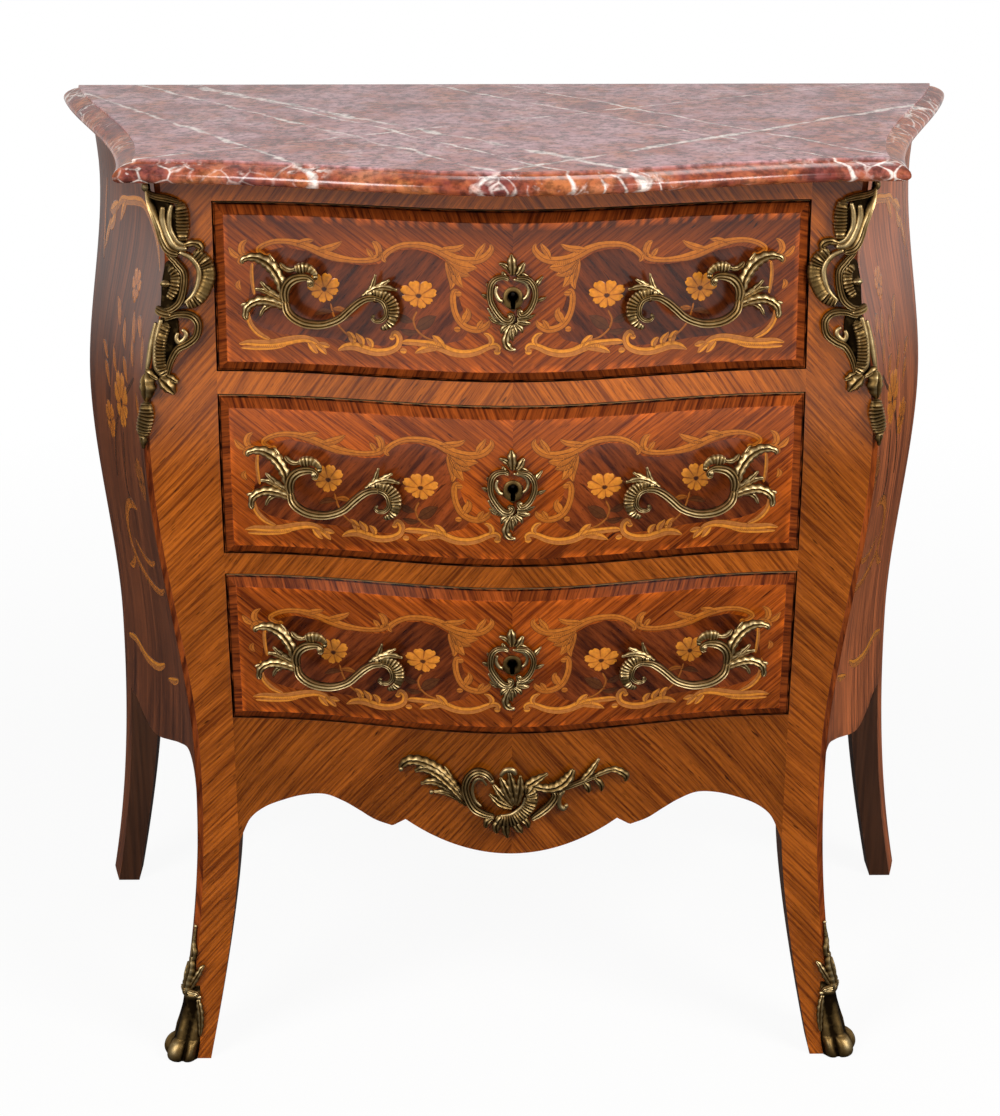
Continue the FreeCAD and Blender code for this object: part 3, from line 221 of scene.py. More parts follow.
CHUTE_ARMS = (
    ("plate", ((-6, 214, 1.5, 5), (3, 204, 1.5, 9), (8, 190, 1.5, 10), (9, 178, 1.5, 9), (9, 168, 1.5, 5))),
    ("plate", ((2, 160, 1.5, 4), (5, 148, 1.5, 8), (6, 136, 1.5, 9), (4, 122, 1.5, 6), (3, 112, 1.5, 4))),
    ("plate", ((6, 116, 1.5, 7), (8, 104, 1.5, 9), (8, 90, 1.5, 9), (7, 76, 1.5, 7), (8, 62, 1.5, 5))),
    ("plate", ((26, 166, 1.5, 3), (33, 152, 1.5, 6), (32, 138, 1.5, 6), (24, 124, 1.5, 4))),
    ("ball", ((-8, 220, 6, 3.6),)),
    ("band", 5, 2.8, ((-8, 219.5), (-6, 212.5), (-2, 202), (0.5, 189), (2, 177), (5, 169), (11, 166))),
    ("band", 4.5, 2.2, ((-8, 216), (6, 213.5), (18.5, 210))),
    ("ribbed", 4.5, 3.8, ((19, 210.5), (19, 199.5), (17, 187.5), (15.5, 176.5))),
    ("stem", 4.5, 1.6, ((12, 208), (8, 198), (7, 186), (10.5, 177), (17, 173.5))),
    ("stem", 4.8, 2, ((5.5, 206.5), (3.5, 195), (4.5, 183), (8.5, 172.5), (18.5, 170.5))),
    ("leaf", 4.5, 2.4, ((15, 173.5), (24.5, 175.5), (30, 172), (26.5, 167.5))),
    ("ribbed", 3.8, 4, ((23.5, 168.5), (32.5, 160.5), (36.5, 149.5), (34, 137), (29, 128), (19.5, 123))),
    ("stem", 4.6, 1.7, ((11, 168), (21, 163), (27.5, 154), (28, 143.5), (25, 132.5), (18, 124.5))),
    ("band", 5, 2.3, ((3.5, 167.5), (8.5, 159.5), (15, 151), (16, 138.5), (14, 126.5), (7.5, 120), (1.5, 118.5))),
    ("ribbed", 5.6, 3, ((4.5, 156), (8.5, 148.5), (8.5, 138.5), (5.5, 128))),
    ("stem", 6.5, 3.6, ((3.5, 145), (3.5, 141.5), (4, 138.5))),
    ("band", 5, 3, ((-2, 120.5), (3.5, 117.5), (9.5, 115.5))),
    ("band", 4.6, 2.4, ((4.5, 112.5), (14, 116), (25.5, 115), (32.5, 108), (33, 97.5), (27, 91), (19.5, 86.5),
        (15.5, 76), (14.5, 63.5))),
    ("ribbed", 5, 3.4, ((7, 109), (5.5, 96), (6, 84), (8.5, 71.5), (13.5, 63.5))),
    ("stem", 5, 2, ((3, 112), (2.5, 99), (3.5, 84), (6.5, 70), (13.5, 62))),
    ("stem", 4.4, 1.5, ((19.5, 103.5), (24, 99.5), (23.5, 95), (19.5, 92), (16.5, 96), (17, 101))),
    ("stem", 5, 1.9, ((-0.5, 108.5), (-1, 93), (-0.5, 77.5), (-0.5, 67))),
    ("leaf", 4.4, 2.6, ((-2, 67.5), (2, 65.5), (8, 60.5))),
    ("leaf", 4.2, 4.4, ((8.5, 62.5), (17, 55.5), (24, 48))),
    ("leaf", 4.2, 2.4, ((12.5, 65), (19.5, 61), (25.5, 58))),
    ("leaf", 5, 5, ((0, 65.5), (2.5, 53.5), (2.5, 41))),
    ("ribbed", 4.6, 4.8, ((2.5, 42), (3.5, 30.5), (2.5, 20), (1.5, 9))),
    ("leaf", 4.2, 2.6, ((2, 20), (1.5, 9), (0.5, -0.5))),
)
FOOT_ARMS = (
    ("leaf", ((0, 60, 3, 4.4), (0, 74, 3, 5.2), (1, 88, 2.6, 4.2), (0, 100, 2.4, 2.2))),
    ("leaf", ((2, 66, 3, 2.4), (6, 79, 2.6, 3.2), (9, 88, 2.4, 2.4), (12, 92, 2.4, 0.8))),
    ("leaf", ((-2, 66, 3, 2.2), (-5, 78, 2.6, 2.8), (-7, 90, 2.4, 0.8))),
    ("leaf", ((0, 92, 2.4, 2.4), (2, 102, 2.4, 3.4), (0, 112, 2.2, 2.2), (0, 120, 2, 1.4))),
    ("ribbed", ((0, 110, 2.2, 2.2), (0, 118, 2, 1.8), (0, 127, 1.8, 1.2))),
    ("band", ((-11, 60, 2.5, 1.8), (-7, 65, 3.4, 2.6), (0, 66, 4, 2.8), (7, 65, 3.4, 2.6), (11, 60, 2.5, 1.8))),
    ("leaf", ((10, 58, 2, 2), (14, 46, 2, 3.2), (17, 32, 2, 2.6), (18, 22, 2.4, 1.2))),
    ("ball", ((-11, 60, 3, 2.2),)),
    ("ball", ((11, 60, 3, 2.2),)),
    ("ball", ((0, 128.5, 1.8, 1.6),)),
)

MM = 0.001


def linear(code):
    """Turns an sRGB hex colour into linear red, green and blue with full alpha."""
    srgb = np.array([int(code[k:k + 2], 16) for k in (1, 3, 5)]) / 255.0
    rgb = np.where(srgb <= 0.04045, srgb / 12.92, ((srgb + 0.055) / 1.055) ** 2.4)
    return (*rgb.tolist(), 1.0)


# ---------------------------------------------------------------- the shape of the case

def ease(t):
    """A smooth S from 0 to 1: three t squared less two t cubed."""
    return t * t * (3 - 2 * t)


def swell(z, foot, stations):
    """A size at height z: a power flare down to the foot, then an easy S from station to station."""
    z = np.asarray(z, float)
    ankle_z, ankle = stations[0]
    size = ankle + (foot - ankle) * np.clip(1 - z / ankle_z, 0, 1) ** FLARE_POWER
    for (z0, v0), (z1, v1) in zip(stations, stations[1:]):
        size = np.where(z > z0, v0 + (v1 - v0) * ease(np.clip((z - z0) / (z1 - z0), 0, 1)), size)
    return size


def flare(z, top, upper, foot):
    """Inner face of a leg: upright above top, then drawn to its foot along a power curve."""
    return upper + (foot - upper) * np.clip(1 - np.asarray(z, float) / top, 0, 1) ** LEG_POWER


def stile_y(z):
    """Depth of the flat front of the posts: the back less the depth at that height."""
    return BACK_Y - swell(z, FOOT_DEPTH, DEPTHS)


def front_y(x, z):
    """The serpentine front: the stile's depth less a raised cosine bow over the middle."""
    bow = (1 + np.cos(np.pi * np.clip(np.abs(x) / BOW_HALF, 0, 1))) / 2
    return stile_y(z) - FRONT_BOW * bow ** BOW_POWER


def sweep_out(t):
    """How a side leaves the front corner: half a power curve and half an easy S."""
    return (t ** SIDE_POWER + ease(t)) / 2


def side_x(y, z):
    """Half width of the swelling side at depth y and height z, swept from front corner to back."""
    front, rear = swell(z, FRONT_FOOT, FRONT_CORNER), swell(z, REAR_FOOT, REAR_CORNER)
    t = np.clip((y - stile_y(z)) / (BACK_Y - stile_y(z)), 0, 1)
    return front + (rear - front) * sweep_out(t)


def smooth(rows, at):
    """Points on the Catmull-Rom cubic through rows, at shares of the length of its chords."""
    rows = np.asarray(rows, float)
    ends = np.vstack((2 * rows[0] - rows[1], rows, 2 * rows[-1] - rows[-2]))
    chords = np.linalg.norm(np.diff(rows[:, :2], axis=0), axis=1) + 1e-6
    marks = np.concatenate(([0.0], np.cumsum(chords)))
    want = np.asarray(at, float) * marks[-1]
    k = np.clip(np.searchsorted(marks, want, side="right") - 1, 0, len(rows) - 2)
    t = ((want - marks[k]) / chords[k])[:, None]
    a, b, c, d = ends[k], ends[k + 1], ends[k + 2], ends[k + 3]
    return 0.5 * (2 * b + (c - a) * t + (2 * a - 5 * b + 4 * c - d) * t ** 2 + (3 * b - a - 3 * c + d) * t ** 3)


def stack(x, y, z):
    """Puts three broadcast arrays together as points."""
    return np.stack(np.broadcast_arrays(np.asarray(x, float), y, z), -1)


def unit(vectors):
    """Each vector divided by its own length."""
    return vectors / np.maximum(np.linalg.norm(vectors, axis=-1, keepdims=True), 1e-9)


# ---------------------------------------------------------------- meshes from grids

def sheet(points, grain=None, tone=1.0, slot=0, out=None):
    """One grid of points with its veneer coordinates, tone, material slot and outward direction."""
    points = np.asarray(points, float)
    shape = points.shape[:2]
    grain = np.zeros(2) if grain is None else grain
    return {"points": points, "grain": np.broadcast_to(grain, (*shape, 2)), "slot": slot, "out": out,
            "tone": np.broadcast_to(np.asarray(tone, float), shape)}


def cap(loop, **looks):
    """Closes a ring of points with a fan from their mean."""
    loop = np.asarray(loop, float)
    return sheet(np.stack((np.broadcast_to(loop.mean(0), loop.shape), loop)), **looks)


def rims(face, back):
    """The four edges between two grids: along their first and last rows, then their first and last columns."""
    return [np.stack(pair) for pair in ((face[0], back[0]), (face[-1], back[-1]),
                                        (face[:, 0], back[:, 0]), (face[:, -1], back[:, -1]))]


def quads(rows, cols, start, turned):
    """Corner numbers of every cell of a grid, the other way round when it is turned."""
    index = start + np.arange(rows * cols).reshape(rows, cols)
    cells = np.stack((index[:-1, :-1], index[:-1, 1:], index[1:, 1:], index[1:, :-1]), -1).reshape(-1, 4)
    return cells[:, ::-1] if turned else cells


def faces_away(one):
    """True where the mean normal of a grid, the cross product of its cells' diagonals, is not outwards."""
    if one["out"] is None:
        return False
    p = one["points"]
    normal = np.cross(p[1:, 1:] - p[:-1, :-1], p[1:, :-1] - p[:-1, 1:])
    return bool(np.sum(normal * one["out"]) < 0)


def piece(name, sheets, materials, body, replaces=(), closed=True, sharp=35.0):
    """Joins grids into one mesh: cells become faces, border points that meet are merged, and the
    edges that turn by more than the sharp angle stay crisp."""
    corners, slots = [], []
    starts = np.cumsum([0] + [s["points"].shape[0] * s["points"].shape[1] for s in sheets])
    for one, start in zip(sheets, starts):
        cells = quads(*one["points"].shape[:2], start, faces_away(one))
        corners.append(cells)
        slots.append(np.full(len(cells), one["slot"]))
    points = np.concatenate([s["points"].reshape(-1, 3) for s in sheets]) * MM
    grain = np.concatenate([s["grain"].reshape(-1, 2) for s in sheets])
    tone = np.concatenate([s["tone"].ravel() for s in sheets])
    corners = np.concatenate(corners)
    mesh = bpy.data.meshes.new(name)
    mesh.from_pydata(points.tolist(), [], corners.tolist())
    mesh.uv_layers.new(name="grain").data.foreach_set("uv", grain[corners.ravel()].astype(np.float32).ravel())
    mesh.attributes.new("tone", "FLOAT", "POINT").data.foreach_set("value", tone.astype(np.float32))
    mesh.polygons.foreach_set("material_index", np.concatenate(slots).astype(np.int32))
    for material in materials:
        mesh.materials.append(material)
    work = bmesh.new()
    work.from_mesh(mesh)
    bmesh.ops.remove_doubles(work, verts=work.verts, dist=MERGED)
    if closed:
        bmesh.ops.recalc_face_normals(work, faces=work.faces)
    work.to_mesh(mesh)
    work.free()
    mesh.shade_smooth()
    mesh.set_sharp_from_angle(angle=math.radians(sharp))
    made = bpy.data.objects.new(name, mesh)
    bpy.context.scene.collection.objects.link(made)
    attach(made, body)
    if replaces:
        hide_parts(*replaces)
    return made


def veneer(points, lean, shift=0.0):
    """Veneer coordinates in metres, along the grain and across it. The grain rises at lean degrees on the
    way out from the middle of the chest, so the two halves are book-matched."""
    turn = math.radians(lean)
    out, deep, high = np.abs(points[..., 0]), points[..., 1], points[..., 2]
    along = out * math.cos(turn) + high * math.sin(turn) + shift
    return np.stack((along, high * math.cos(turn) - out * math.sin(turn) + 0.5 * deep), -1) * MM


def side_veneer(points, shift):
    """Veneer coordinates of a side in metres: the grain runs up it, leaning a little towards the back."""
    deep, high = points[..., 1], points[..., 2]
    return np.stack((high + shift, deep + 0.2 * high), -1) * MM


# ---------------------------------------------------------------- places on the case

def on_front(edge_x, low_z, sign, proud):
    """Places on the serpentine front: along from a mount's outer end, up, and out from the face."""
    def place(u, w, d):
        x, z = sign * (edge_x - u), low_z + w
        return stack(x, front_y(x, z) - proud - d, z)
    return place


def on_corner(low_z, sign):
    """Places round a front corner: forward of it positive, along the side negative, over a quarter round."""
    half = CORNER_ROUND * math.pi / 4

    def place(u, w, d):
        z = low_z + w
        y = stile_y(z)
        x = side_x(y, z)
        turn = math.pi / 4 * (1 + np.clip(u / half, -1, 1))
        reach = CORNER_ROUND + d
        x = x - CORNER_ROUND + reach * np.cos(turn) - np.maximum(0, u - half)
        y = y + CORNER_ROUND - reach * np.sin(turn) + np.maximum(0, -u - half)
        return stack(sign * x, y, z)
    return place


def on_side(sign):
    """Places on a side: depth, height, and out from the face."""
    def place(y, z, d):
        return stack(sign * (side_x(y, z) + d), y, z)
    return place


# ---------------------------------------------------------------- castings

def section(kind, c, along):
    """Height, width factor and tone of a cast section at c from -1 to 1 across it.
    A band has three reeds, a leaf two broad lobes and a ruffled edge, a ribbed arm cross ribs,
    a plate is low and flat, and a stem or a ball is round."""
    if kind == "band":
        ridge = 0.5 + 0.5 * np.cos(3 * np.pi * c)
        high = np.sqrt(1 - c ** 6) * (0.55 + 0.5 * ridge)
        return high + 0 * along, 1.0 + 0 * along, 0.1 + 0.9 * ridge + 0 * along
    if kind == "leaf":
        ridge = 0.5 - 0.5 * np.cos(2 * np.pi * c)
        wave = np.abs(np.cos(np.pi * along / RUFFLE))
        high = np.sqrt(1 - c ** 4) * (0.5 + 0.5 * ridge + 0.12 * wave * c ** 2)
        return high, 0.86 + 0.28 * wave + 0 * c, 0.14 + 0.66 * ridge + 0.14 * wave
    if kind == "plate":
        return 0.22 * np.sqrt(1 - c ** 8) + 0 * along, 1.0 + 0 * along, 0.1 + 0 * c + 0 * along
    if kind == "ribbed":
        rib = 0.5 + 0.5 * np.cos(2 * np.pi * along / RIB)
        return np.sqrt(1 - c ** 4) * (0.55 + 0.45 * rib), 0.9 + 0.16 * rib + 0 * c, 0.1 + 0.9 * rib + 0 * c
    return np.sqrt(1 - c ** 2) + 0 * along, 1.0 + 0 * along, 0.85 + 0 * c + 0 * along


def cast_arm(place, kind, rows, stout):
    """A closed cast arm: its section carried along a smooth path of (along, up, out, half width) rows, each
    width times stout. The half width runs out at both ends as a quarter ellipse, so the ends are rounded."""
    if kind == "ball":
        (u, w, d, r), = rows
        rows = ((u - r, w, d, r), (u, w, d, r), (u + r, w, d, r))
    rows = np.asarray(rows, float)
    length = np.linalg.norm(np.diff(rows[:, :3], axis=0), axis=1).sum()
    count = int(np.clip(length / ARM_STEP, 10, 90))
    even = np.linspace(0, 1, count)
    rows = rows * (1, 1, 1, 1 if kind == "plate" else stout)
    u, w, d, r = smooth(rows, 0.35 * (0.5 - 0.5 * np.cos(np.pi * even)) + 0.65 * even).T
    centre = place(u, w, d)
    tangent = unit(np.gradient(centre, axis=0))
    across = unit(np.cross(tangent, unit(place(u, w, d + 1.0) - centre)))
    up = np.cross(across, tangent)
    along = np.concatenate(([0.0], np.cumsum(np.linalg.norm(np.diff(centre, axis=0), axis=1))))
    near = np.clip(along / np.maximum(rows[0, 3], 0.4), 0, 1)
    far = np.clip((along[-1] - along) / np.maximum(rows[-1, 3], 0.4), 0, 1)
    r = np.maximum(r, 0.3) * np.sqrt(near * (2 - near) * far * (2 - far))
    turn = np.linspace(0, 2 * np.pi, 17 if kind in ("leaf", "band") else 15)
    c, s = np.cos(turn)[None, :], np.sin(turn)[None, :]
    high, wide, tone = section(kind, np.clip(c, -1, 1), along[:, None])
    lift = np.where(s >= 0, high, -0.5 * np.sqrt(np.clip(1 - c ** 2, 0, 1)))
    points = (centre[:, None, :] + across[:, None, :] * (r[:, None] * wide * c)[..., None]
              + up[:, None, :] * (r[:, None] * lift)[..., None])
    points[:, -1] = points[:, 0]
    tone = np.where(s >= -0.05, tone, 0.05)
    return sheet(points, tone=tone)


def tapered(kind, out, half, points):
    """The kind and rows of an arm that stands equally far out all along. Its half widths, to a tenth of a millimetre,
    are shares of half: a leaf swells from 0.62 to the whole and runs out along a power curve to 0.28, and any other
    arm follows a parabola that starts and ends at 0.7 and is cut off at the whole."""
    t = np.linspace(0, 1, len(points))
    if kind == "leaf":
        share = np.where(t < 0.62, 0.62 + 0.38 * np.minimum(1, 2.2 * t),
                         np.maximum(0.28, 1 - 0.72 * (np.clip(t - 0.62, 0, 1) / 0.38) ** 1.6))
    else:
        share = 0.6 + 0.4 * np.minimum(1, 4 * t * (1 - t) + 0.25)
    return kind, np.column_stack((points, np.full(len(t), out), np.round(half * share, 1)))


def casting(place, arms, stout=1.0, painted_shade=1.0):
    """All the arms of one casting, their tone times a painted shade that is 1 for a casting in full light."""
    sheets = [cast_arm(place, *(arm if len(arm) == 2 else tapered(*arm)), stout) for arm in arms]
    for one in sheets:
        one["tone"] = one["tone"] * painted_shade
    return sheets


def keyhole_reach(turn):
    """Distance from the keyhole's round to its outline: the circle, or the sides and foot of the slot."""
    side, foot = np.abs(np.cos(turn)), np.maximum(-np.sin(turn), 1e-6)
    slot = np.minimum(KEYHOLE_SLOT / np.maximum(side, 1e-6), KEYHOLE_LONG / foot)
    return np.where(np.sin(turn) < 0, np.maximum(KEYHOLE_R, slot), KEYHOLE_R)


def key_plate(place):
    """The plate behind the scrolls: an egg-shaped ring from the keyhole's outline, domed and closed."""
    turn = np.linspace(0, 2 * np.pi, 73)
    hole, rim = keyhole_reach(turn), 8.0 + 2.5 * np.clip(-np.sin(turn), 0, 1)
    share = np.array((0.0, 0.0, 0.08, 0.4, 0.8, 1.0, 1.0, 0.5, 0.0))[:, None]
    lift = np.array((0.0, 1.4, 2.0, 2.1, 1.9, 1.4, 0.0, 0.0, 0.0))[:, None]
    reach = hole + (rim - hole) * share
    reach[:, -1] = reach[:, 0]
    points = place(PLATE_END + reach * np.cos(turn), PLATE_HOLE + reach * np.sin(turn), lift + 0 * reach)
    return sheet(points, tone=np.broadcast_to(np.where(share < 0.1, 0.05, 0.42), reach.shape))


def shoe(place):
    """The sabot: one closed shell over the corner of the foot, over (share across, up). Its stand-off is a thin
    skin, an instep that swells to the floor, three rounded toes, the ridges that run up from them and a rolled
    collar, added together; its width narrows upwards."""
    s, w = np.meshgrid(np.linspace(-1, 1, 71), np.concatenate((np.linspace(0, 20, 26), np.linspace(20, 70, 46)[1:])))
    u = np.interp(w, (0, 14, 32, 52, 70), (21, 20, 16, 13, 9)) * s + np.interp(w, (0, 30, 70), (-1, 0, 1))
    toes = sum(rise * np.sqrt(np.clip(1 - ((u - at) / half) ** 2, 0, 1) * np.clip(1 - ((w - 8.6) / 9.6) ** 2, 0, 1))
               for at, half, rise in ((-11.0, 5.0, 7.0), (1.0, 5.2, 7.5), (12.5, 4.8, 5.0)))
    instep = 3.4 * np.exp(-(w / 22) ** 2)
    ridge = (0.5 + 0.5 * np.cos(2 * np.pi * (u - 1.0) / 12.0)) * np.clip(1 - np.abs(w - 28) / 26, 0, 1)
    collar = 3.0 * np.exp(-((w - 61 - 1.5 * s ** 2) / 3.2) ** 2)
    edge = np.clip(1 - s ** 6, 0, 1) * np.sqrt(np.clip((70 - w) / 3, 0, 1))
    tone = np.clip(0.05 + 0.5 * ridge + 0.07 * toes + 0.2 * collar, 0.05, 1)
    outer, inner = place(u, w, (1.8 + instep + toes + 2.4 * ridge + collar) * edge), place(u, w, -0.6 + 0 * u)
    edges = [sheet(rim, tone=0.3) for rim in rims(outer, inner)]
    return [sheet(outer, tone=tone), sheet(inner, tone=0.05)] + edges


# ---------------------------------------------------------------- inlay

def ribbon(place, rows, tone, lift, width=1.0, shade=0.25):
    """A strip of inlay along a smooth path of (along, up, half width) rows: flat on top, its edges sunk into
    the ground, pointed at both ends, scorched darker along one side, with a dark sawn line round it."""
    rows = np.asarray(rows, float)
    length = np.linalg.norm(np.diff(rows[:, :2], axis=0), axis=1).sum()
    even = np.linspace(0, 1, int(np.clip(length / RIBBON_STEP, 8, 120)))
    a, z, half = smooth(rows, even).T
    ends = np.clip(np.minimum(even, 1 - even) * length / (2.2 * np.maximum(half.max(), 0.3)), 0, 1)
    half = np.maximum(half, 0.15) * width * np.sqrt(ends * (2 - ends))
    way = unit(np.stack((np.gradient(a), np.gradient(z)), -1))
    c = np.array((-1.0, -0.94, -0.8, -0.2, 0.4, 0.8, 0.94, 1.0))
    deep = np.where(np.abs(c) < 1, lift, INLAY_SUNK)
    points = place(a[:, None] - way[:, 1:] * half[:, None] * c, z[:, None] + way[:, :1] * half[:, None] * c,
                   np.broadcast_to(deep, (len(a), len(c))))
    shown = tone * (1 - shade * np.clip(c, 0, 1)) * np.where(np.abs(c) > 0.9, 0.4, 1.0)
    return sheet(points, tone=shown + 0 * a[:, None])


def bloom(place, a, z, radius, petals, tone, lift, turn, squash):
    """A flower of inlay: a polar sheet whose edge is scalloped into petals with a dimple at each tip. It leans,
    so the petals on one side are longer than on the other, with a dark eye and a scorched line between petals."""
    angle = np.linspace(0, 2 * np.pi, 16 * petals + 1)
    k = np.array((0.0, 0.12, 0.2, 0.3, 0.5, 0.75, 0.93, 1.0))[:, None]
    notch = np.abs(np.cos(petals * (angle - turn) / 2)) ** 0.5
    dimple = np.exp(-((1 - notch) / 0.02) ** 2)
    uneven = 1 + 0.2 * np.cos(angle - turn - 1.1) + 0.07 * np.sin(3 * angle + turn)
    reach = radius * k * (0.68 + 0.32 * notch - 0.07 * dimple) * uneven
    deep = np.where(k < 1, lift, INLAY_SUNK)
    points = place(a + reach * np.cos(angle), z + squash * reach * np.sin(angle), deep + 0 * reach)
    points[:, -1] = points[:, 0]
    seam = np.exp(-(notch / 0.42) ** 2) * np.clip(k * 2.2, 0, 1)
    colour = np.where(k < 0.15, 0.2, tone * (0.88 + 0.12 * k) * (1 - 0.6 * seam))
    return sheet(points, tone=colour)


def marquetry(place, strokes, flowers, lift, out, width):
    """All the inlay of one half: ribbons, an engraved line along each broad one, and flowers."""
    sheets = []
    for tone, rows in strokes:
        sheets.append(ribbon(place, rows, tone, lift, width))
        if max(row[2] for row in rows) > ENGRAVED_FROM:
            line = [(a, z, ENGRAVED_HALF) for a, z, half in rows]
            sheets.append(ribbon(place, line, 0.5 * tone, lift + 0.05, shade=0.0))
    for a, z, radius, petals, tone, turn, squash in flowers:
        sheets.append(bloom(place, a, z, radius, petals, tone, lift + 0.03, turn, squash))
    for one in sheets:
        one["out"] = np.array(out, float)
    return sheets


def ground(place, lift, tone):
    """The darker leaf inside the scrolls: a grid over (distance from the middle, share of the height) between its
    lower and upper edges, flat, with its rim sunk into the front. Its grain crosses that of the front."""
    a, share = np.linspace(GROUND_LOW[0][0], GROUND_LOW[-1][0], 140), np.linspace(0, 1, 20)[:, None]
    low, high = (np.interp(a, *np.transpose(edge)) for edge in (GROUND_LOW, GROUND_HIGH))
    points = place(a + 0 * share, low + (high - low) * share, np.where(np.abs(share - 0.5) < 0.5, lift, -0.1) + 0 * a)
    return sheet(points, veneer(points, GROUND_LEAN, GROUND_SHIFT), tone, 1, np.array((0.0, -1.0, 0.0)))


# Tones of the inlay: upper and lower scrolls, leaves, stems, and dark leaves
TOP, LOW, LEAF, MILD, DIM = 0.62, 0.86, 0.56, 0.5, 0.27
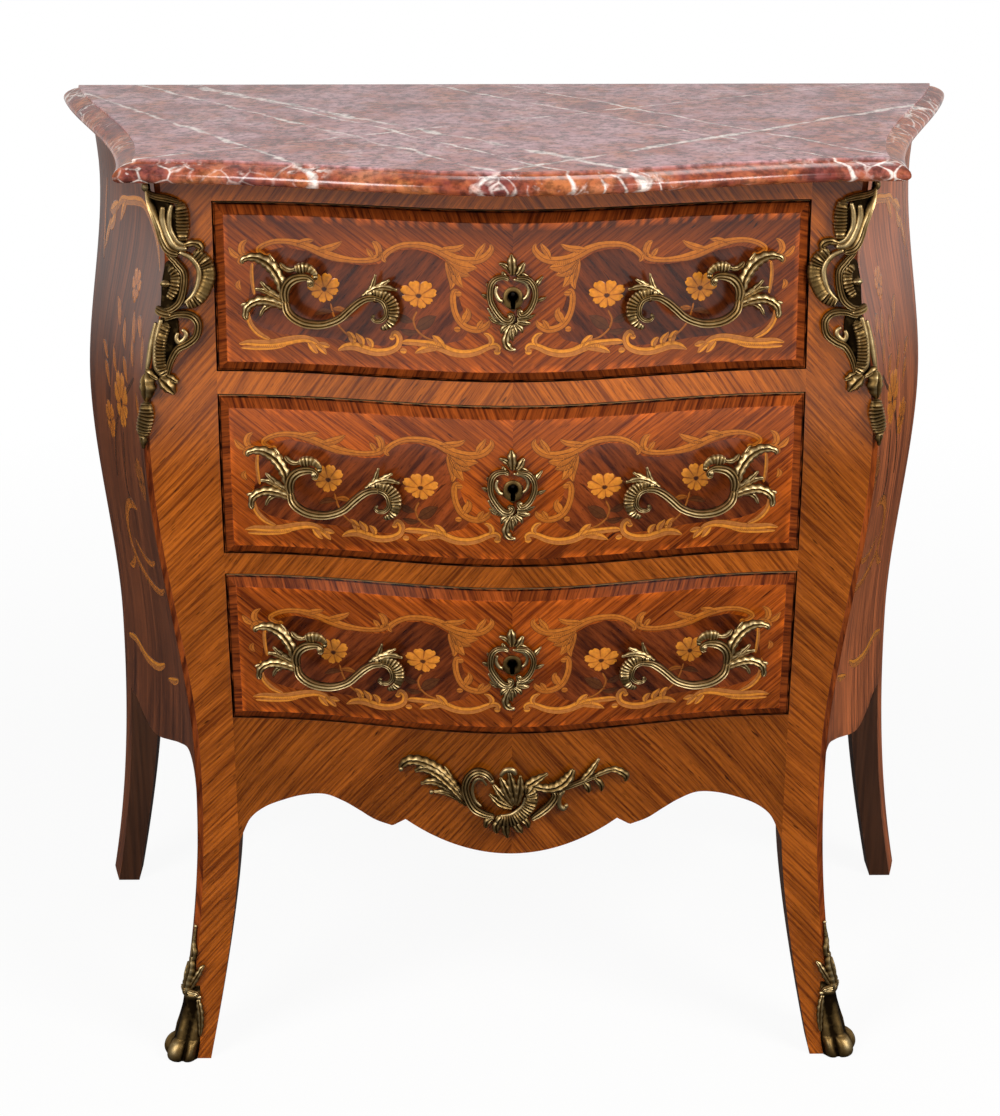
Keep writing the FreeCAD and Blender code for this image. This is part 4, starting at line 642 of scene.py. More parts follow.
# Inlay of a drawer front, one half: distance from the middle, height above the drawer's foot, half width
DRAWER_STROKES = (
    (TOP, ((203, 99.5, 1.6), (209, 101, 1.8), (212, 104.5, 2.0), (207, 108.5, 2.0), (198, 111.5, 2.0), (188, 112, 2.2),
           (178, 110.5, 2.8), (168, 107.5, 3.0), (158, 103.5, 3.4), (148, 100.5, 3.2), (138, 99, 2.4), (126, 98.5, 2.0),
           (116, 100, 2.4), (110.5, 103, 2.8), (108.5, 107, 2.2))),
    (TOP, ((180, 110, 1.6), (172, 112.5, 2.4), (164, 114, 0.6))),
    (TOP, ((163, 105, 1.6), (153, 107.5, 2.8), (146, 110.5, 2.2), (141, 114, 0.6))),
    (TOP, ((112, 101, 1.6), (110.5, 107, 2.8), (113, 113, 2.6), (117, 115, 1.0))),
    (TOP, ((115, 101, 1.4), (118, 105.5, 2.2), (121, 109, 0.8))),
    (TOP, ((104, 98, 1.4), (107, 101, 2.2), (105, 105, 2.4), (99, 109.5, 2.2), (91, 113, 2.2), (82, 114, 2.4),
           (72, 113.5, 2.6), (63, 111, 3.0), (55, 107, 3.4), (48, 104, 3.4), (40, 102.5, 3.2), (32, 102.5, 3.0),
           (25, 104.5, 2.8), (20, 108.5, 2.6), (17.5, 113, 2.2), (19, 117, 1.2))),
    (TOP, ((62, 110, 1.6), (53, 111, 2.6), (45, 112.5, 2.2), (39, 116, 0.7))),
    (TOP, ((31, 103.5, 1.4), (28, 109, 2.4), (25, 113, 2.0), (22.5, 117.5, 0.7))),
    (TOP, ((56, 104, 2.0), (46, 99, 4.4), (37, 97, 4.2), (29, 96.5, 1.0))),
    (LEAF, ((54, 102, 2.0), (47, 95, 4.4), (40, 91.5, 3.4), (35, 90, 0.8))),
    (TOP, ((53, 100, 2.0), (48, 90, 3.8), (44.5, 84, 2.8), (41, 80, 0.8))),
    (TOP, ((55, 102, 2.0), (51.5, 92, 3.2), (50, 84, 2.6), (51.5, 78, 1.0))),
    (TOP, ((44.5, 76.5, 1.6), (47.5, 77.5, 2.2), (49.5, 73, 2.4), (49.3, 66, 2.4), (47.5, 58.5, 2.4), (44, 52, 2.6),
           (38.5, 47.5, 2.6), (31, 45.5, 2.6), (25, 47, 2.6), (20.5, 50.5, 2.2), (19.5, 54, 1.0))),
    (TOP, ((42, 50, 1.8), (39, 55, 3.4), (37, 60, 2.6), (38.5, 64, 1.0))),
    (TOP, ((30, 46, 1.4), (27, 50.5, 2.2), (24.5, 54, 0.8))),
    (TOP, ((48, 75, 2.8), (45, 75, 2.8), (42, 75, 2.8))),
    (TOP, ((49, 45.5, 2.8), (46, 45.5, 2.8), (43, 45.5, 2.8))),
    (TOP, ((205.5, 99.5, 2.5), (203, 99.5, 2.5), (200.5, 99.5, 2.5))),
    (LOW, ((13, 27.5, 2.4), (11.5, 30.5, 2.2), (15, 33, 2.2), (21, 31.5, 2.4), (30, 27.5, 2.8), (40, 25.5, 3.0),
           (50, 26.5, 3.2), (58, 29.5, 3.4), (67, 32, 3.0), (78, 33, 2.4), (89, 33, 2.2), (93, 31.5, 1.0))),
    (LOW, ((16, 27.5, 3.0), (13, 27.5, 3.0), (10, 27.5, 3.0))),
    (LOW, ((20, 32, 1.6), (17.5, 36.5, 2.2), (20, 41, 1.8), (25, 43, 0.8))),
    (LOW, ((56, 28, 1.6), (60, 33, 3.0), (64, 37.5, 2.6), (67, 39.5, 0.8))),
    (LOW, ((60, 29, 1.6), (68, 29.5, 3.0), (76, 27, 2.4), (82, 24, 0.6))),
    (LOW, ((101.5, 36.5, 2.2), (98, 40, 2.4), (94.5, 36.5, 2.4), (95, 31, 2.4), (98.5, 27, 2.6), (106, 24, 2.8),
           (115, 23.2, 3.0), (124, 25, 3.2), (132, 27, 3.2), (140, 26, 2.6), (147, 22.5, 1.0))),
    (LOW, ((103, 36, 2.6), (100.5, 36, 2.6), (98, 36, 2.6))),
    (LOW, ((94, 25.5, 2.8), (91, 25.5, 2.8), (88, 25.5, 2.8))),
    (LOW, ((134, 27, 1.6), (133.5, 32.5, 2.8), (136, 37, 2.2), (139, 39, 0.8))),
    (LOW, ((126, 26, 1.6), (126, 32, 2.6), (129.5, 36, 1.8), (131, 38.5, 0.6))),
    (LOW, ((119, 25, 1.4), (118, 29.5, 2.4), (120.5, 33, 2.0), (123, 34.5, 0.6))),
    (LOW, ((231, 25, 1.0), (222, 26.5, 2.2), (212, 26, 2.8), (200, 26.5, 3.2), (190, 28.5, 3.4), (181, 30.5, 3.0),
           (173, 31, 2.6), (166, 29, 2.2), (160.5, 25.5, 1.0))),
    (LOW, ((229, 22, 0.8), (215, 22, 1.6), (200, 23, 1.6), (189, 25.5, 0.8))),
    (LOW, ((172, 29, 1.6), (168.5, 25, 2.6), (165.5, 21, 2.0), (163, 19, 0.6))),
    (LOW, ((166, 28, 1.4), (161, 24, 2.4), (157.5, 20.5, 1.8), (156, 18.5, 0.5))),
    (LOW, ((163, 28, 1.4), (157.5, 26.5, 2.4), (152.5, 25.5, 1.2))),
    (LOW, ((222, 62, 1.0), (222.5, 52, 1.8), (220, 42, 2.0), (213, 34, 2.0), (203, 29, 1.2))),
    (LOW, ((216, 66, 1.0), (217.5, 76, 1.4), (218, 86, 1.4), (217, 94, 1.0))),
    (TOP, ((214, 93, 1.2), (218, 97.5, 2.2), (224, 98.5, 2.4), (228, 94.5, 2.2), (226, 91, 1.2))),
    (TOP, ((221, 98, 1.4), (226, 103, 2.6), (225, 109, 2.2), (220, 113, 0.6))),
    (TOP, ((227, 97, 1.4), (233, 101, 2.4), (237, 107, 0.7))),
    (TOP, ((228, 79, 1.0), (230, 74.5, 2.2), (227, 70, 1.0))),
    (MILD, ((152, 62, 0.7), (149.5, 52, 0.8), (145, 43, 0.8), (137, 35.5, 0.8), (130, 32, 0.7))),
    (DIM, ((150, 55, 0.8), (158, 55, 2.4), (166, 51.5, 0.8))),
    (MILD, ((151, 57, 0.8), (144, 57.5, 2.2), (137, 55, 0.8))),
    (DIM, ((147, 47, 0.8), (140, 50, 2.2), (133, 51, 0.8))),
    (MILD, ((79, 60, 0.7), (82.5, 52, 0.8), (80, 44, 0.8), (73, 38, 0.8), (64, 35, 0.7))),
    (DIM, ((82, 50, 0.8), (90, 52, 2.8), (97, 57, 0.8))),
    (DIM, ((81, 44, 0.8), (75, 48, 4.2), (68, 53, 3.4), (63, 56, 0.8))),
    (DIM, ((79, 42, 0.8), (87, 41, 2.4), (94, 43.5, 0.8))),
)
# Flowers: place, radius, petals, tone, turn in radians, height against width
DRAWER_FLOWERS = ((157, 73, 14.0, 8, 0.78, 0.2, 0.95), (78, 71.5, 15.5, 8, 0.76, 0.5, 0.8))
# The darker leaf of veneer inside the scrolls, one half: its lower and upper edges
GROUND_LOW = ((36, 44), (42, 36), (55, 31), (75, 28), (100, 26), (125, 27), (150, 30), (175, 31), (195, 32), (210, 37),
              (219, 45), (222, 56))
GROUND_HIGH = ((36, 47), (38, 55), (43, 68), (46, 80), (49, 92), (56, 104), (66, 110), (80, 113), (92, 112), (104, 107),
               (110, 99), (125, 97), (150, 99), (172, 107), (190, 110), (205, 106), (212, 98), (218, 85), (222, 58))

# Inlay of a side: depth, height, half width
SIDE_STROKES = (
    (LOW, ((-62, 733, 1.2), (-40, 750, 2.6), (-15, 763, 3.0), (20, 775, 3.2), (50, 773, 3.2), (80, 767, 3.0),
           (108, 762, 2.6), (128, 748, 1.4))),
    (LOW, ((120, 757, 2.0), (138, 748, 4.5), (156, 742, 1.5))),
    (LOW, ((130, 748, 2.0), (142, 733, 4.2), (158, 726, 1.4))),
    (LOW, ((150, 736, 1.6), (163, 718, 3.6), (170, 702, 1.2))),
    (TOP, ((170, 772, 1.2), (180, 745, 2.6), (180, 715, 2.6), (172, 690, 1.2))),
    (TOP, ((-52, 640, 1.5), (-42, 655, 5.5), (-32, 668, 1.2))),
    (TOP, ((-25, 662, 1.5), (-12, 672, 5.0), (2, 676, 1.2))),
    (TOP, ((0, 652, 1.5), (12, 664, 5.0), (20, 678, 1.2))),
    (TOP, ((36, 636, 1.5), (46, 650, 5.0), (52, 664, 1.2))),
    (TOP, ((66, 650, 1.5), (76, 664, 5.0), (90, 674, 1.2))),
    (TOP, ((18, 608, 1.5), (30, 620, 5.0), (44, 628, 1.2))),
    (TOP, ((98, 582, 1.5), (110, 596, 5.0), (124, 602, 1.2))),
    (TOP, ((-47, 588, 1.5), (-34, 601, 5.0), (-22, 612, 1.2))),
    (TOP, ((108, 608, 1.5), (120, 615, 4.0), (135, 620, 1.2))),
    (TOP, ((68, 604, 1.5), (79, 616, 4.5), (86, 629, 1.2))),
    (TOP, ((-5, 630, 1.5), (5, 642, 4.5), (12, 656, 1.2))),
    (LOW, ((85, 768, 1.5), (100, 757, 4.0), (112, 741, 1.2))),
    (DIM, ((-12, 622, 1.2), (15, 604, 1.6), (45, 585, 1.6), (80, 548, 1.6), (100, 515, 1.6), (108, 488, 1.2))),
    (DIM, ((50, 552, 1.0), (62, 520, 1.6), (70, 490, 1.6), (60, 470, 1.2))),
    (TOP, ((40, 477, 1.5), (62, 476, 3.2), (85, 465, 3.6), (102, 442, 3.6), (98, 418, 3.4), (75, 405, 3.2),
           (40, 400, 3.0), (5, 405, 2.6), (-22, 418, 1.2))),
    (TOP, ((2, 437, 1.2), (22, 428, 2.2), (48, 425, 2.4), (80, 433, 1.2))),
    (TOP, ((92, 412, 1.2), (112, 395, 2.8), (130, 388, 1.0))),
    (LOW, ((-14, 322, 1.2), (8, 312, 2.6), (32, 304, 1.2))),
    (LOW, ((40, 316, 1.4), (68, 302, 3.0), (108, 295, 3.2), (150, 298, 3.0), (187, 289, 1.4))),
)
SIDE_FLOWERS = ((48, 580, 29.0, 8, 0.72, 0.2, 1.0), (105, 545, 20.0, 7, 0.66, 0.4, 1.0),
                (27, 697, 17.0, 7, 0.66, 0.1, 1.0), (-8, 520, 21.0, 6, 0.5, 0.3, 1.0))


# ---------------------------------------------------------------- settings

class CommodeSizes(PropertyGroup):
    """Sizes of the finishes that a user would change."""

    stripe: FloatProperty(name="Stripe spacing", description="Width of one dark and light stripe of the tulipwood",
                          default=0.0023, min=0.001, max=0.02, unit="LENGTH")
    pore: FloatProperty(name="Pore width", description="Width of the veneer's pores, drawn coarse enough to show",
                        default=0.0011, min=0.0003, max=0.005, unit="LENGTH")
    vein: FloatProperty(name="Vein spacing", description="Usual distance between the white threads of the marble",
                        default=0.02, min=0.01, max=0.5, unit="LENGTH")
    patch: FloatProperty(name="Patch size", description="Usual size of the red and grey patches of the marble",
                         default=0.032, min=0.01, max=0.3, unit="LENGTH")
    inlay: FloatProperty(name="Inlay lift", description="How far the inlay stands out of its ground",
                         default=0.00012, min=0.00002, max=0.001, unit="LENGTH")


def colour(name, description, code):
    """A colour property whose default is an sRGB hex value."""
    return FloatVectorProperty(name=name, description=description, default=linear(code), size=4, min=0.0, max=1.0,
                               subtype="COLOR")


class CommodeColours(PropertyGroup):
    """Colours of the finishes."""

    tulip_light: colour("Tulipwood light", "Light stripes of the stiles and rails", "#AE5A13")
    tulip_dark: colour("Tulipwood dark", "Dark stripes of the stiles and rails", "#6A2E04")
    panel_light: colour("Drawer veneer light", "Light stripes of the drawer fronts", "#B65510")
    panel_dark: colour("Drawer veneer dark", "Dark stripes of the drawer fronts", "#6C2802")
    band_light: colour("Crossband light", "Light streaks of the bevels", "#964618")
    band_dark: colour("Crossband dark", "Dark streaks of the bevels", "#4C1C0A")
    king_light: colour("Kingwood", "Lighter wood of the leaf inside the scrolls", "#8A3E14")
    king_dark: colour("Kingwood dark", "Darker wood of the leaf inside the scrolls", "#461A08")
    rose_light: colour("Rosewood light", "Light streaks of the sides", "#8A4A26")
    rose_dark: colour("Rosewood dark", "Dark streaks of the sides", "#46200E")
    inlay_light: colour("Inlay light", "Flowers and bright scrolls", "#DA8826")
    inlay_mid: colour("Inlay middle", "Scrolls", "#B4641B")
    inlay_dark: colour("Inlay dark", "Scorched and engraved lines", "#2E1006")
    inlay_pink: colour("Inlay pink", "Lower scrolls", "#A05E2E")
    inlay_leaf: colour("Inlay leaf", "Stems and leaves", "#5A3014")
    bronze_mid: colour("Bronze", "Gilt bronze between ridge and hollow", "#866A3E")
    bronze_bright: colour("Bronze bright", "Rubbed ridges of the gilding", "#D2BA8A")
    bronze_dark: colour("Bronze dark", "Dirt and patina in the hollows", "#20160A")
    stone_light: colour("Stone light", "Palest red of the marble", "#BC6C36")
    stone_red: colour("Marble red", "Main colour of the stone", "#A04A1E")
    stone_grey: colour("Marble grey", "Grey-mauve patches", "#CC9EA2")
    stone_dark: colour("Marble dark", "Dark red patches", "#702412")
    stone_vein: colour("Marble vein", "White veins", "#FFF0E6")
    oak: colour("Oak", "Bare wood of the boards inside", "#A98558")
    beech: colour("Beech", "Stained wood of the rear legs", "#4A2812")
    iron: colour("Iron", "Locks and screws", "#5A5754")
    floor: colour("Floor", "Studio floor", "#DEDCD8")


class CommodeSettings(PropertyGroup):
    """All settings of the chest."""

    sizes: PointerProperty(type=CommodeSizes)
    colours: PointerProperty(type=CommodeColours)


def chosen():
    """The settings of this scene."""
    return bpy.context.scene.commode


# ---------------------------------------------------------------- finishes

# The marble's long veins: the direction across each one in plan, how far it lies from the middle, half width
MARBLE_VEINS = (((0.73, 0.68, 0.0), -72.0, 6.0), ((0.79, 0.61, 0.0), -141.0, 3.0), ((0.84, 0.54, 0.0), -242.0, 3.2),
                ((0.79, 0.61, 0.0), -99.0, 2.2), ((0.77, 0.64, 0.0), 146.0, 2.0), ((0.75, 0.66, 0.0), 95.0, 2.2),
                ((-0.63, 0.777, 0.0), -160.0, 4.4), ((-0.5, 0.866, 0.0), 22.0, 1.8))
# How far the marble's pattern is bent, and the heights between which its worked edge turns into its flat, in metres
MARBLE_BEND, RIM_LOW, RIM_HIGH = 0.02, 0.847, 0.8495


def grey(value):
    """A grey of that level."""
    return (value, value, value, 1.0)


def add(tree, kind, sockets=None, ramp=None, **settings):
    """Adds a node with its settings, fills its sockets with values or links, where a node stands for its first
    output in use, and sets the stops of a ramp, where a number stands for that grey."""
    node = tree.nodes.new("ShaderNode" + kind)
    for key, value in settings.items():
        setattr(node, key, value)
    for key, value in (sockets or {}).items():
        if isinstance(value, bpy.types.Node):
            value = next(socket for socket in value.outputs if socket.enabled)
        if isinstance(value, bpy.types.NodeSocket):
            tree.links.new(value, node.inputs[key])
        else:
            node.inputs[key].default_value = value
    for k, (at, tint) in enumerate(ramp or ()):
        stops = node.color_ramp.elements
        stop = stops[k] if k < 2 else stops.new(at)
        stop.position, stop.color = at, (grey(tint) if isinstance(tint, float) else tint)
    return node


def blank(kind, name):
    """A new material or world with an empty tree, and that tree."""
    made = kind.new(name)
    made.use_nodes = True
    made.node_tree.nodes.clear()
    return made, made.node_tree


def striped_veneer(name, light, dark, stripe, length, polish, gloss):
    """Knife-cut veneer, scraped and French polished: fine stripes along the grain inside broad ones, a slow
    change of tone over each leaf, fine dark pores, a few short black flecks, and a clear, slightly soft gloss."""
    material, tree = blank(bpy.data.materials, name)
    uv = add(tree, "UVMap", uv_map="grain")
    # each streak's length and width in metres, its detail and its distortion; pores and flecks are drawn coarser
    # than real ones, so that they show
    fields = []
    for long, wide, detail, warp in ((length, stripe, 3.0, 0.3), (3 * length, 6 * stripe, 3.0, 0.6),
                                     (0.25, 0.09, 2.0, 0.8), (0.14 * length, chosen().sizes.pore, 2.0, 0.2),
                                     (0.02, 0.0024, 1.0, 0.3)):
        flat = add(tree, "Mapping", {"Vector": uv, "Scale": (1 / long, 1 / wide, 1)})
        fields.append(add(tree, "TexNoise", {"Vector": flat, "Scale": 1.0, "Detail": detail, "Roughness": 0.6,
                                             "Distortion": warp}))
    fine, broad, slow, pores, flecks = fields
    broad = add(tree, "Math", {0: broad, 1: 0.32}, operation="MULTIPLY")
    stripes = add(tree, "Math", {0: fine, 1: 0.68, 2: broad}, operation="MULTIPLY_ADD")
    shown = add(tree, "ValToRGB", {"Fac": stripes}, ramp=((0.39, dark), (0.6, light)))
    shades = [add(tree, "ValToRGB", {"Fac": field}, ramp=stops) for field, stops in (
        (slow, ((0.3, 0.62), (0.68, 1.0))), (pores, ((0.3, 0.5), (0.44, 1.0))), (flecks, ((0.7, 1.0), (0.76, 0.3))))]
    # the mesh's tone brings in painted light and shade: lighter and darker drawers, rails and sides, and the bevels'
    # painted highlight and shadow
    for shade in (*shades, add(tree, "Attribute", attribute_name="tone")):
        shown = add(tree, "Mix", {0: 1.0, 6: shown, 7: shade}, data_type="RGBA", blend_type="MULTIPLY")
    bump = add(tree, "Bump", {"Height": pores, "Strength": 0.12, "Distance": 0.0003})
    shader = add(tree, "BsdfPrincipled", {"Base Color": shown, "Normal": bump, "Roughness": polish, "IOR": 1.5,
                                          "Specular IOR Level": gloss})
    add(tree, "OutputMaterial", {"Surface": shader})
    return material


def shaded_inlay(name):
    """Sawn inlay, scorched in hot sand and engraved: each shape has its own tone, read from the mesh, with a
    fine grain and the gloss of the polish that covers it and its ground."""
    tints = chosen().colours
    material, tree = blank(bpy.data.materials, name)
    tone = add(tree, "Attribute", attribute_name="tone").outputs["Fac"]
    place = add(tree, "TexCoord").outputs["Object"]
    fine = add(tree, "TexNoise", {"Vector": place, "Scale": 1 / 0.003, "Detail": 3.0})
    base = add(tree, "ValToRGB", {"Fac": tone}, ramp=(
        (0.05, tints.inlay_dark), (0.3, tints.inlay_leaf), (0.6, tints.inlay_mid), (0.78, tints.inlay_light),
        (0.88, tints.inlay_pink)))
    grain = add(tree, "ValToRGB", {"Fac": fine}, ramp=((0.3, 0.7), (0.65, 1.0)))
    shown = add(tree, "Mix", {0: 1.0, 6: base, 7: grain}, data_type="RGBA", blend_type="MULTIPLY")
    shader = add(tree, "BsdfPrincipled", {"Base Color": shown, "Roughness": 0.22, "IOR": 1.5})
    add(tree, "OutputMaterial", {"Surface": shader})
    return material


def gilt_bronze(name):
    """Cast bronze, chased and gilt, then handled for years: bright on the ridges that wear has polished, dark with old
    dirt in the hollows, and broken by a fine pitting."""
    tints = chosen().colours
    material, tree = blank(bpy.data.materials, name)
    tone = add(tree, "Attribute", attribute_name="tone").outputs["Fac"]
    place = add(tree, "TexCoord").outputs["Object"]
    cloud = add(tree, "TexNoise", {"Vector": place, "Scale": 1 / 0.006, "Detail": 4.0})
    pits = add(tree, "TexNoise", {"Vector": place, "Scale": 1 / 0.0014, "Detail": 2.0})
    level = add(tree, "Math", {0: cloud, 1: 0.55, 2: -0.275}, operation="MULTIPLY_ADD")
    level = add(tree, "Math", {0: tone, 1: level}, operation="ADD")
    base = add(tree, "ValToRGB", {"Fac": level}, ramp=(
        (0.1, tints.bronze_dark), (0.5, tints.bronze_mid), (0.95, tints.bronze_bright)))
    rough = add(tree, "MapRange", {0: level, 1: 0.1, 2: 0.9, 3: 0.6, 4: 0.42})
    bump = add(tree, "Bump", {"Height": pits, "Strength": 0.25, "Distance": 0.0004})
    shader = add(tree, "BsdfPrincipled", {"Base Color": base, "Normal": bump, "Metallic": 1.0, "Roughness": rough})
    add(tree, "OutputMaterial", {"Surface": shader})
    return material


def veined_marble(name):
    """Red breccia marble, ground and polished: rounded red and brown patches, pale grey-mauve clouds, a fine
    mottle, white threads and blots, and a few long ragged veins across the slab, under a clear gloss that
    pales it at a low angle. The clouds are strong on the flat only, so they also paint a pale sheen on it."""
    sizes, tints = chosen().sizes, chosen().colours
    material, tree = blank(bpy.data.materials, name)
    place = add(tree, "TexCoord").outputs["Object"]
    warp = add(tree, "TexNoise", {"Vector": place, "Scale": 1 / 0.05, "Detail": 4.0}).outputs["Color"]
    bent = add(tree, "VectorMath", {0: warp, 1: (MARBLE_BEND,) * 3, 2: place}, operation="MULTIPLY_ADD")
    drawn = add(tree, "Mapping", {"Vector": bent, "Scale": (0.9, 0.8, 1.0)})
    patches, clouds, ragged, blots, regions, mottle = (
        add(tree, "TexNoise", {"Vector": vector, "Scale": 1 / size, "Detail": detail, "Roughness": 0.62})
        for vector, size, detail in ((drawn, sizes.patch, 8.0), (drawn, 0.04, 7.0), (bent, 0.03, 4.0),
                                     (bent, 0.016, 3.0), (place, 0.09, 1.0), (place, 0.007, 4.0)))
    cells = add(tree, "TexVoronoi", {"Vector": bent, "Scale": 1 / sizes.vein}, feature="DISTANCE_TO_EDGE")
    nearest = None
    for across, offset, half in MARBLE_VEINS:
        line = add(tree, "VectorMath", {0: bent, 1: across}, operation="DOT_PRODUCT")
        # the bend has a mean of half its size, which moves every line
        gap = add(tree, "Math", {0: line, 1: offset * MM + MARBLE_BEND / 2 * sum(across)}, operation="SUBTRACT")
        gap = add(tree, "Math", {0: gap}, operation="ABSOLUTE")
        gap = add(tree, "Math", {0: gap, 1: half * MM}, operation="DIVIDE")
        nearest = gap if nearest is None else add(tree, "Math", {0: nearest, 1: gap}, operation="MINIMUM")
    torn = add(tree, "Math", {0: ragged, 1: 4.5, 2: nearest}, operation="MULTIPLY_ADD")
    veins = add(tree, "MapRange", {0: torn, 1: 2.2, 2: 3.1, 3: 0.9, 4: 0.0})
    # threads and blots are plain on the worked edge, in some stretches only, and faint on the flat; clouds are
    #     plain on the flat and faint on the edge, which also paints a pale sheen on the flat over the stone's own
    #     clouds
    high = add(tree, "SeparateXYZ", {0: place}).outputs["Z"]
    worked, flat = (add(tree, "MapRange", {0: high, 1: RIM_LOW, 2: RIM_HIGH, 3: edge, 4: top})
                    for edge, top in ((1.0, 0.25), (0.15, 1.0)))
    clouds_and_sheen, fine, here, threads, spots, broken = (add(tree, "ValToRGB", {"Fac": field}, ramp=stops) for field, stops in (
        (clouds, ((0.4, 0.3), (0.62, 0.95))), (mottle, ((0.38, 0.42), (0.56, 1.0))),
        (regions, ((0.45, 0.0), (0.6, 1.0))), (cells, ((0.01, 0.85), (0.06, 0.0))),
        (blots, ((0.6, 0.0), (0.7, 0.9))), (clouds, ((0.46, 0.0), (0.54, 1.0)))))
    share = add(tree, "Math", {0: here, 1: worked}, operation="MULTIPLY")
    threads = add(tree, "Math", {0: threads, 1: broken}, operation="MULTIPLY")
    marks = add(tree, "Math", {0: threads, 1: spots}, operation="MAXIMUM")
    marks = add(tree, "Math", {0: marks, 1: share}, operation="MULTIPLY")
    clouds_and_sheen = add(tree, "Math", {0: clouds_and_sheen, 1: flat}, operation="MULTIPLY")
    shown = add(tree, "ValToRGB", {"Fac": patches}, ramp=(
        (0.38, tints.stone_dark), (0.5, tints.stone_red), (0.62, tints.stone_light)))
    for amount, other in ((clouds_and_sheen, tints.stone_grey), (marks, tints.stone_vein), (veins, tints.stone_vein)):
        shown = add(tree, "Mix", {0: amount, 6: shown, 7: other}, data_type="RGBA")
    shown = add(tree, "Mix", {0: 1.0, 6: shown, 7: fine}, data_type="RGBA", blend_type="MULTIPLY")
    shader = add(tree, "BsdfPrincipled", {"Base Color": shown, "Roughness": 0.18, "IOR": 1.52})
    add(tree, "OutputMaterial", {"Surface": shader})
    return material


def planed_wood(name, tint, run, rough):
    """Plain sawn and planed wood: straight grain along one axis of the chest, with dark early wood and a dull
    surface. Its grain is 4 mm wide and 12 cm long."""
    material, tree = blank(bpy.data.materials, name)
    place = add(tree, "TexCoord").outputs["Object"]
    flat = add(tree, "Mapping", {"Vector": place, "Scale": [1 / (0.12 if axis == run else 0.004) for axis in "xyz"]})
    grain = add(tree, "TexNoise", {"Vector": flat, "Scale": 1.0, "Detail": 4.0, "Distortion": 0.4})
    dark = (*(0.5 * v for v in tint[:3]), 1.0)
    base = add(tree, "ValToRGB", {"Fac": grain}, ramp=((0.32, dark), (0.6, tint)))
    bump = add(tree, "Bump", {"Height": grain, "Strength": 0.2, "Distance": 0.0004})
    shader = add(tree, "BsdfPrincipled", {"Base Color": base, "Normal": bump, "Roughness": rough, "IOR": 1.5})
    add(tree, "OutputMaterial", {"Surface": shader})
    return material


def filed_iron(name):
    """Forged iron, filed and gone brown: a dull grey metal with rust-dark clouds and file marks."""
    tints = chosen().colours
    material, tree = blank(bpy.data.materials, name)
    place = add(tree, "TexCoord").outputs["Object"]
    cloud = add(tree, "TexNoise", {"Vector": place, "Scale": 1 / 0.008, "Detail": 4.0})
    flat = add(tree, "Mapping", {"Vector": place, "Scale": (1 / 0.02, 1 / 0.02, 1 / 0.0006)})
    marks = add(tree, "TexNoise", {"Vector": flat, "Scale": 1.0})
    base = add(tree, "ValToRGB", {"Fac": cloud}, ramp=((0.35, linear("#33251C")), (0.6, tints.iron)))
    bump = add(tree, "Bump", {"Height": marks, "Strength": 0.15, "Distance": 0.0002})
    shader = add(tree, "BsdfPrincipled", {"Base Color": base, "Normal": bump, "Metallic": 1.0, "Roughness": 0.5})
    add(tree, "OutputMaterial", {"Surface": shader})
    return material


def finishes():
    """Every finish of the chest, made once and found again by name."""
    sizes, tints = chosen().sizes, chosen().colours
    # each veneer's colours, width and length of its stripes in metres, roughness of its polish, strength of its gloss
    veneers = (("tulipwood_polished", "tulip", sizes.stripe, 0.09, 0.2, 0.5),
               ("drawer_veneer_polished", "panel", sizes.stripe, 0.09, 0.2, 0.5),
               ("crossband_polished", "band", 0.003, 0.05, 0.3, 0.05),
               ("kingwood_polished", "king", 0.005, 0.05, 0.2, 0.5),
               ("rosewood_polished", "rose", 0.005, 0.16, 0.3, 0.5))
    makers = {name: (striped_veneer, getattr(tints, key + "_light"), getattr(tints, key + "_dark"), *looks)
              for name, key, *looks in veneers}
    makers |= {
        "satinwood_inlay": (shaded_inlay,),
        "gilt_bronze_cast": (gilt_bronze,),
        "breccia_marble_polished": (veined_marble,),
        "oak_planed_across": (planed_wood, tints.oak, "x", 0.6),
        "oak_planed_deep": (planed_wood, tints.oak, "y", 0.6),
        "beech_stained": (planed_wood, tints.beech, "z", 0.42),
        "iron_filed": (filed_iron,),
    }
    return {name: bpy.data.materials.get(name) or maker(name, *looks) for name, (maker, *looks) in makers.items()}


# ---------------------------------------------------------------- pieces

def top_outline(inset):
    """The slab's outline in plan, from back left round the front to back right: swept sides and a bowed front."""
    corner, y0, rear = TOP_CORNER_HALF - inset, TOP_CORNER_Y + inset, TOP_REAR_HALF - inset
    t = np.linspace(1, 0, 40)
    s = np.linspace(-1, 1, 121)
    swept, deep = corner + (rear - corner) * sweep_out(t), y0 + (TOP_BACK_Y - y0) * t
    bow = y0 - TOP_BOW * ((1 + np.cos(np.pi * s)) / 2) ** TOP_BOW_POWER
    x = np.concatenate((-swept, corner * s[1:-1], swept[::-1]))
    y = np.concatenate((deep, bow[1:-1], deep[::-1]))
    return np.stack((x, y), -1)


def marble_sheets():
    """The slab: its moulded edge carried round the outline, a straight back, and flat faces above and below, drawn
    in to a point of the middle line, with two rows close to the rim so that the flat is shaded flat."""
    rows = [(top_outline(EDGE_MOULD * inset), HEIGHT - SLAB * drop) for drop, inset in EDGE_SHARES]
    edge = np.stack([stack(plan[:, 0], plan[:, 1], z) for plan, z in rows])
    share = np.array((0.0, 0.2, 0.4, 0.6, 0.8, 0.97, 0.995, 1.0))[:, None, None]
    faces = []
    for row in (edge[0], edge[-1]):
        loop = np.vstack((row, row[:1]))
        centre = np.array((0.0, TOP_MIDDLE_Y, row[0, 2]))
        faces.append(sheet(centre + (loop - centre) * share))
    back = np.stack((edge[:, 0], edge[:, -1]))
    return [sheet(edge), sheet(back)] + faces


def post_rows():
    """Heights at which the posts are worked out: closer in the curved legs."""
    return np.concatenate((np.linspace(0, 70, 15), np.linspace(70, 300, 24)[1:], np.linspace(300, CARCASS_TOP, 40)[1:]))


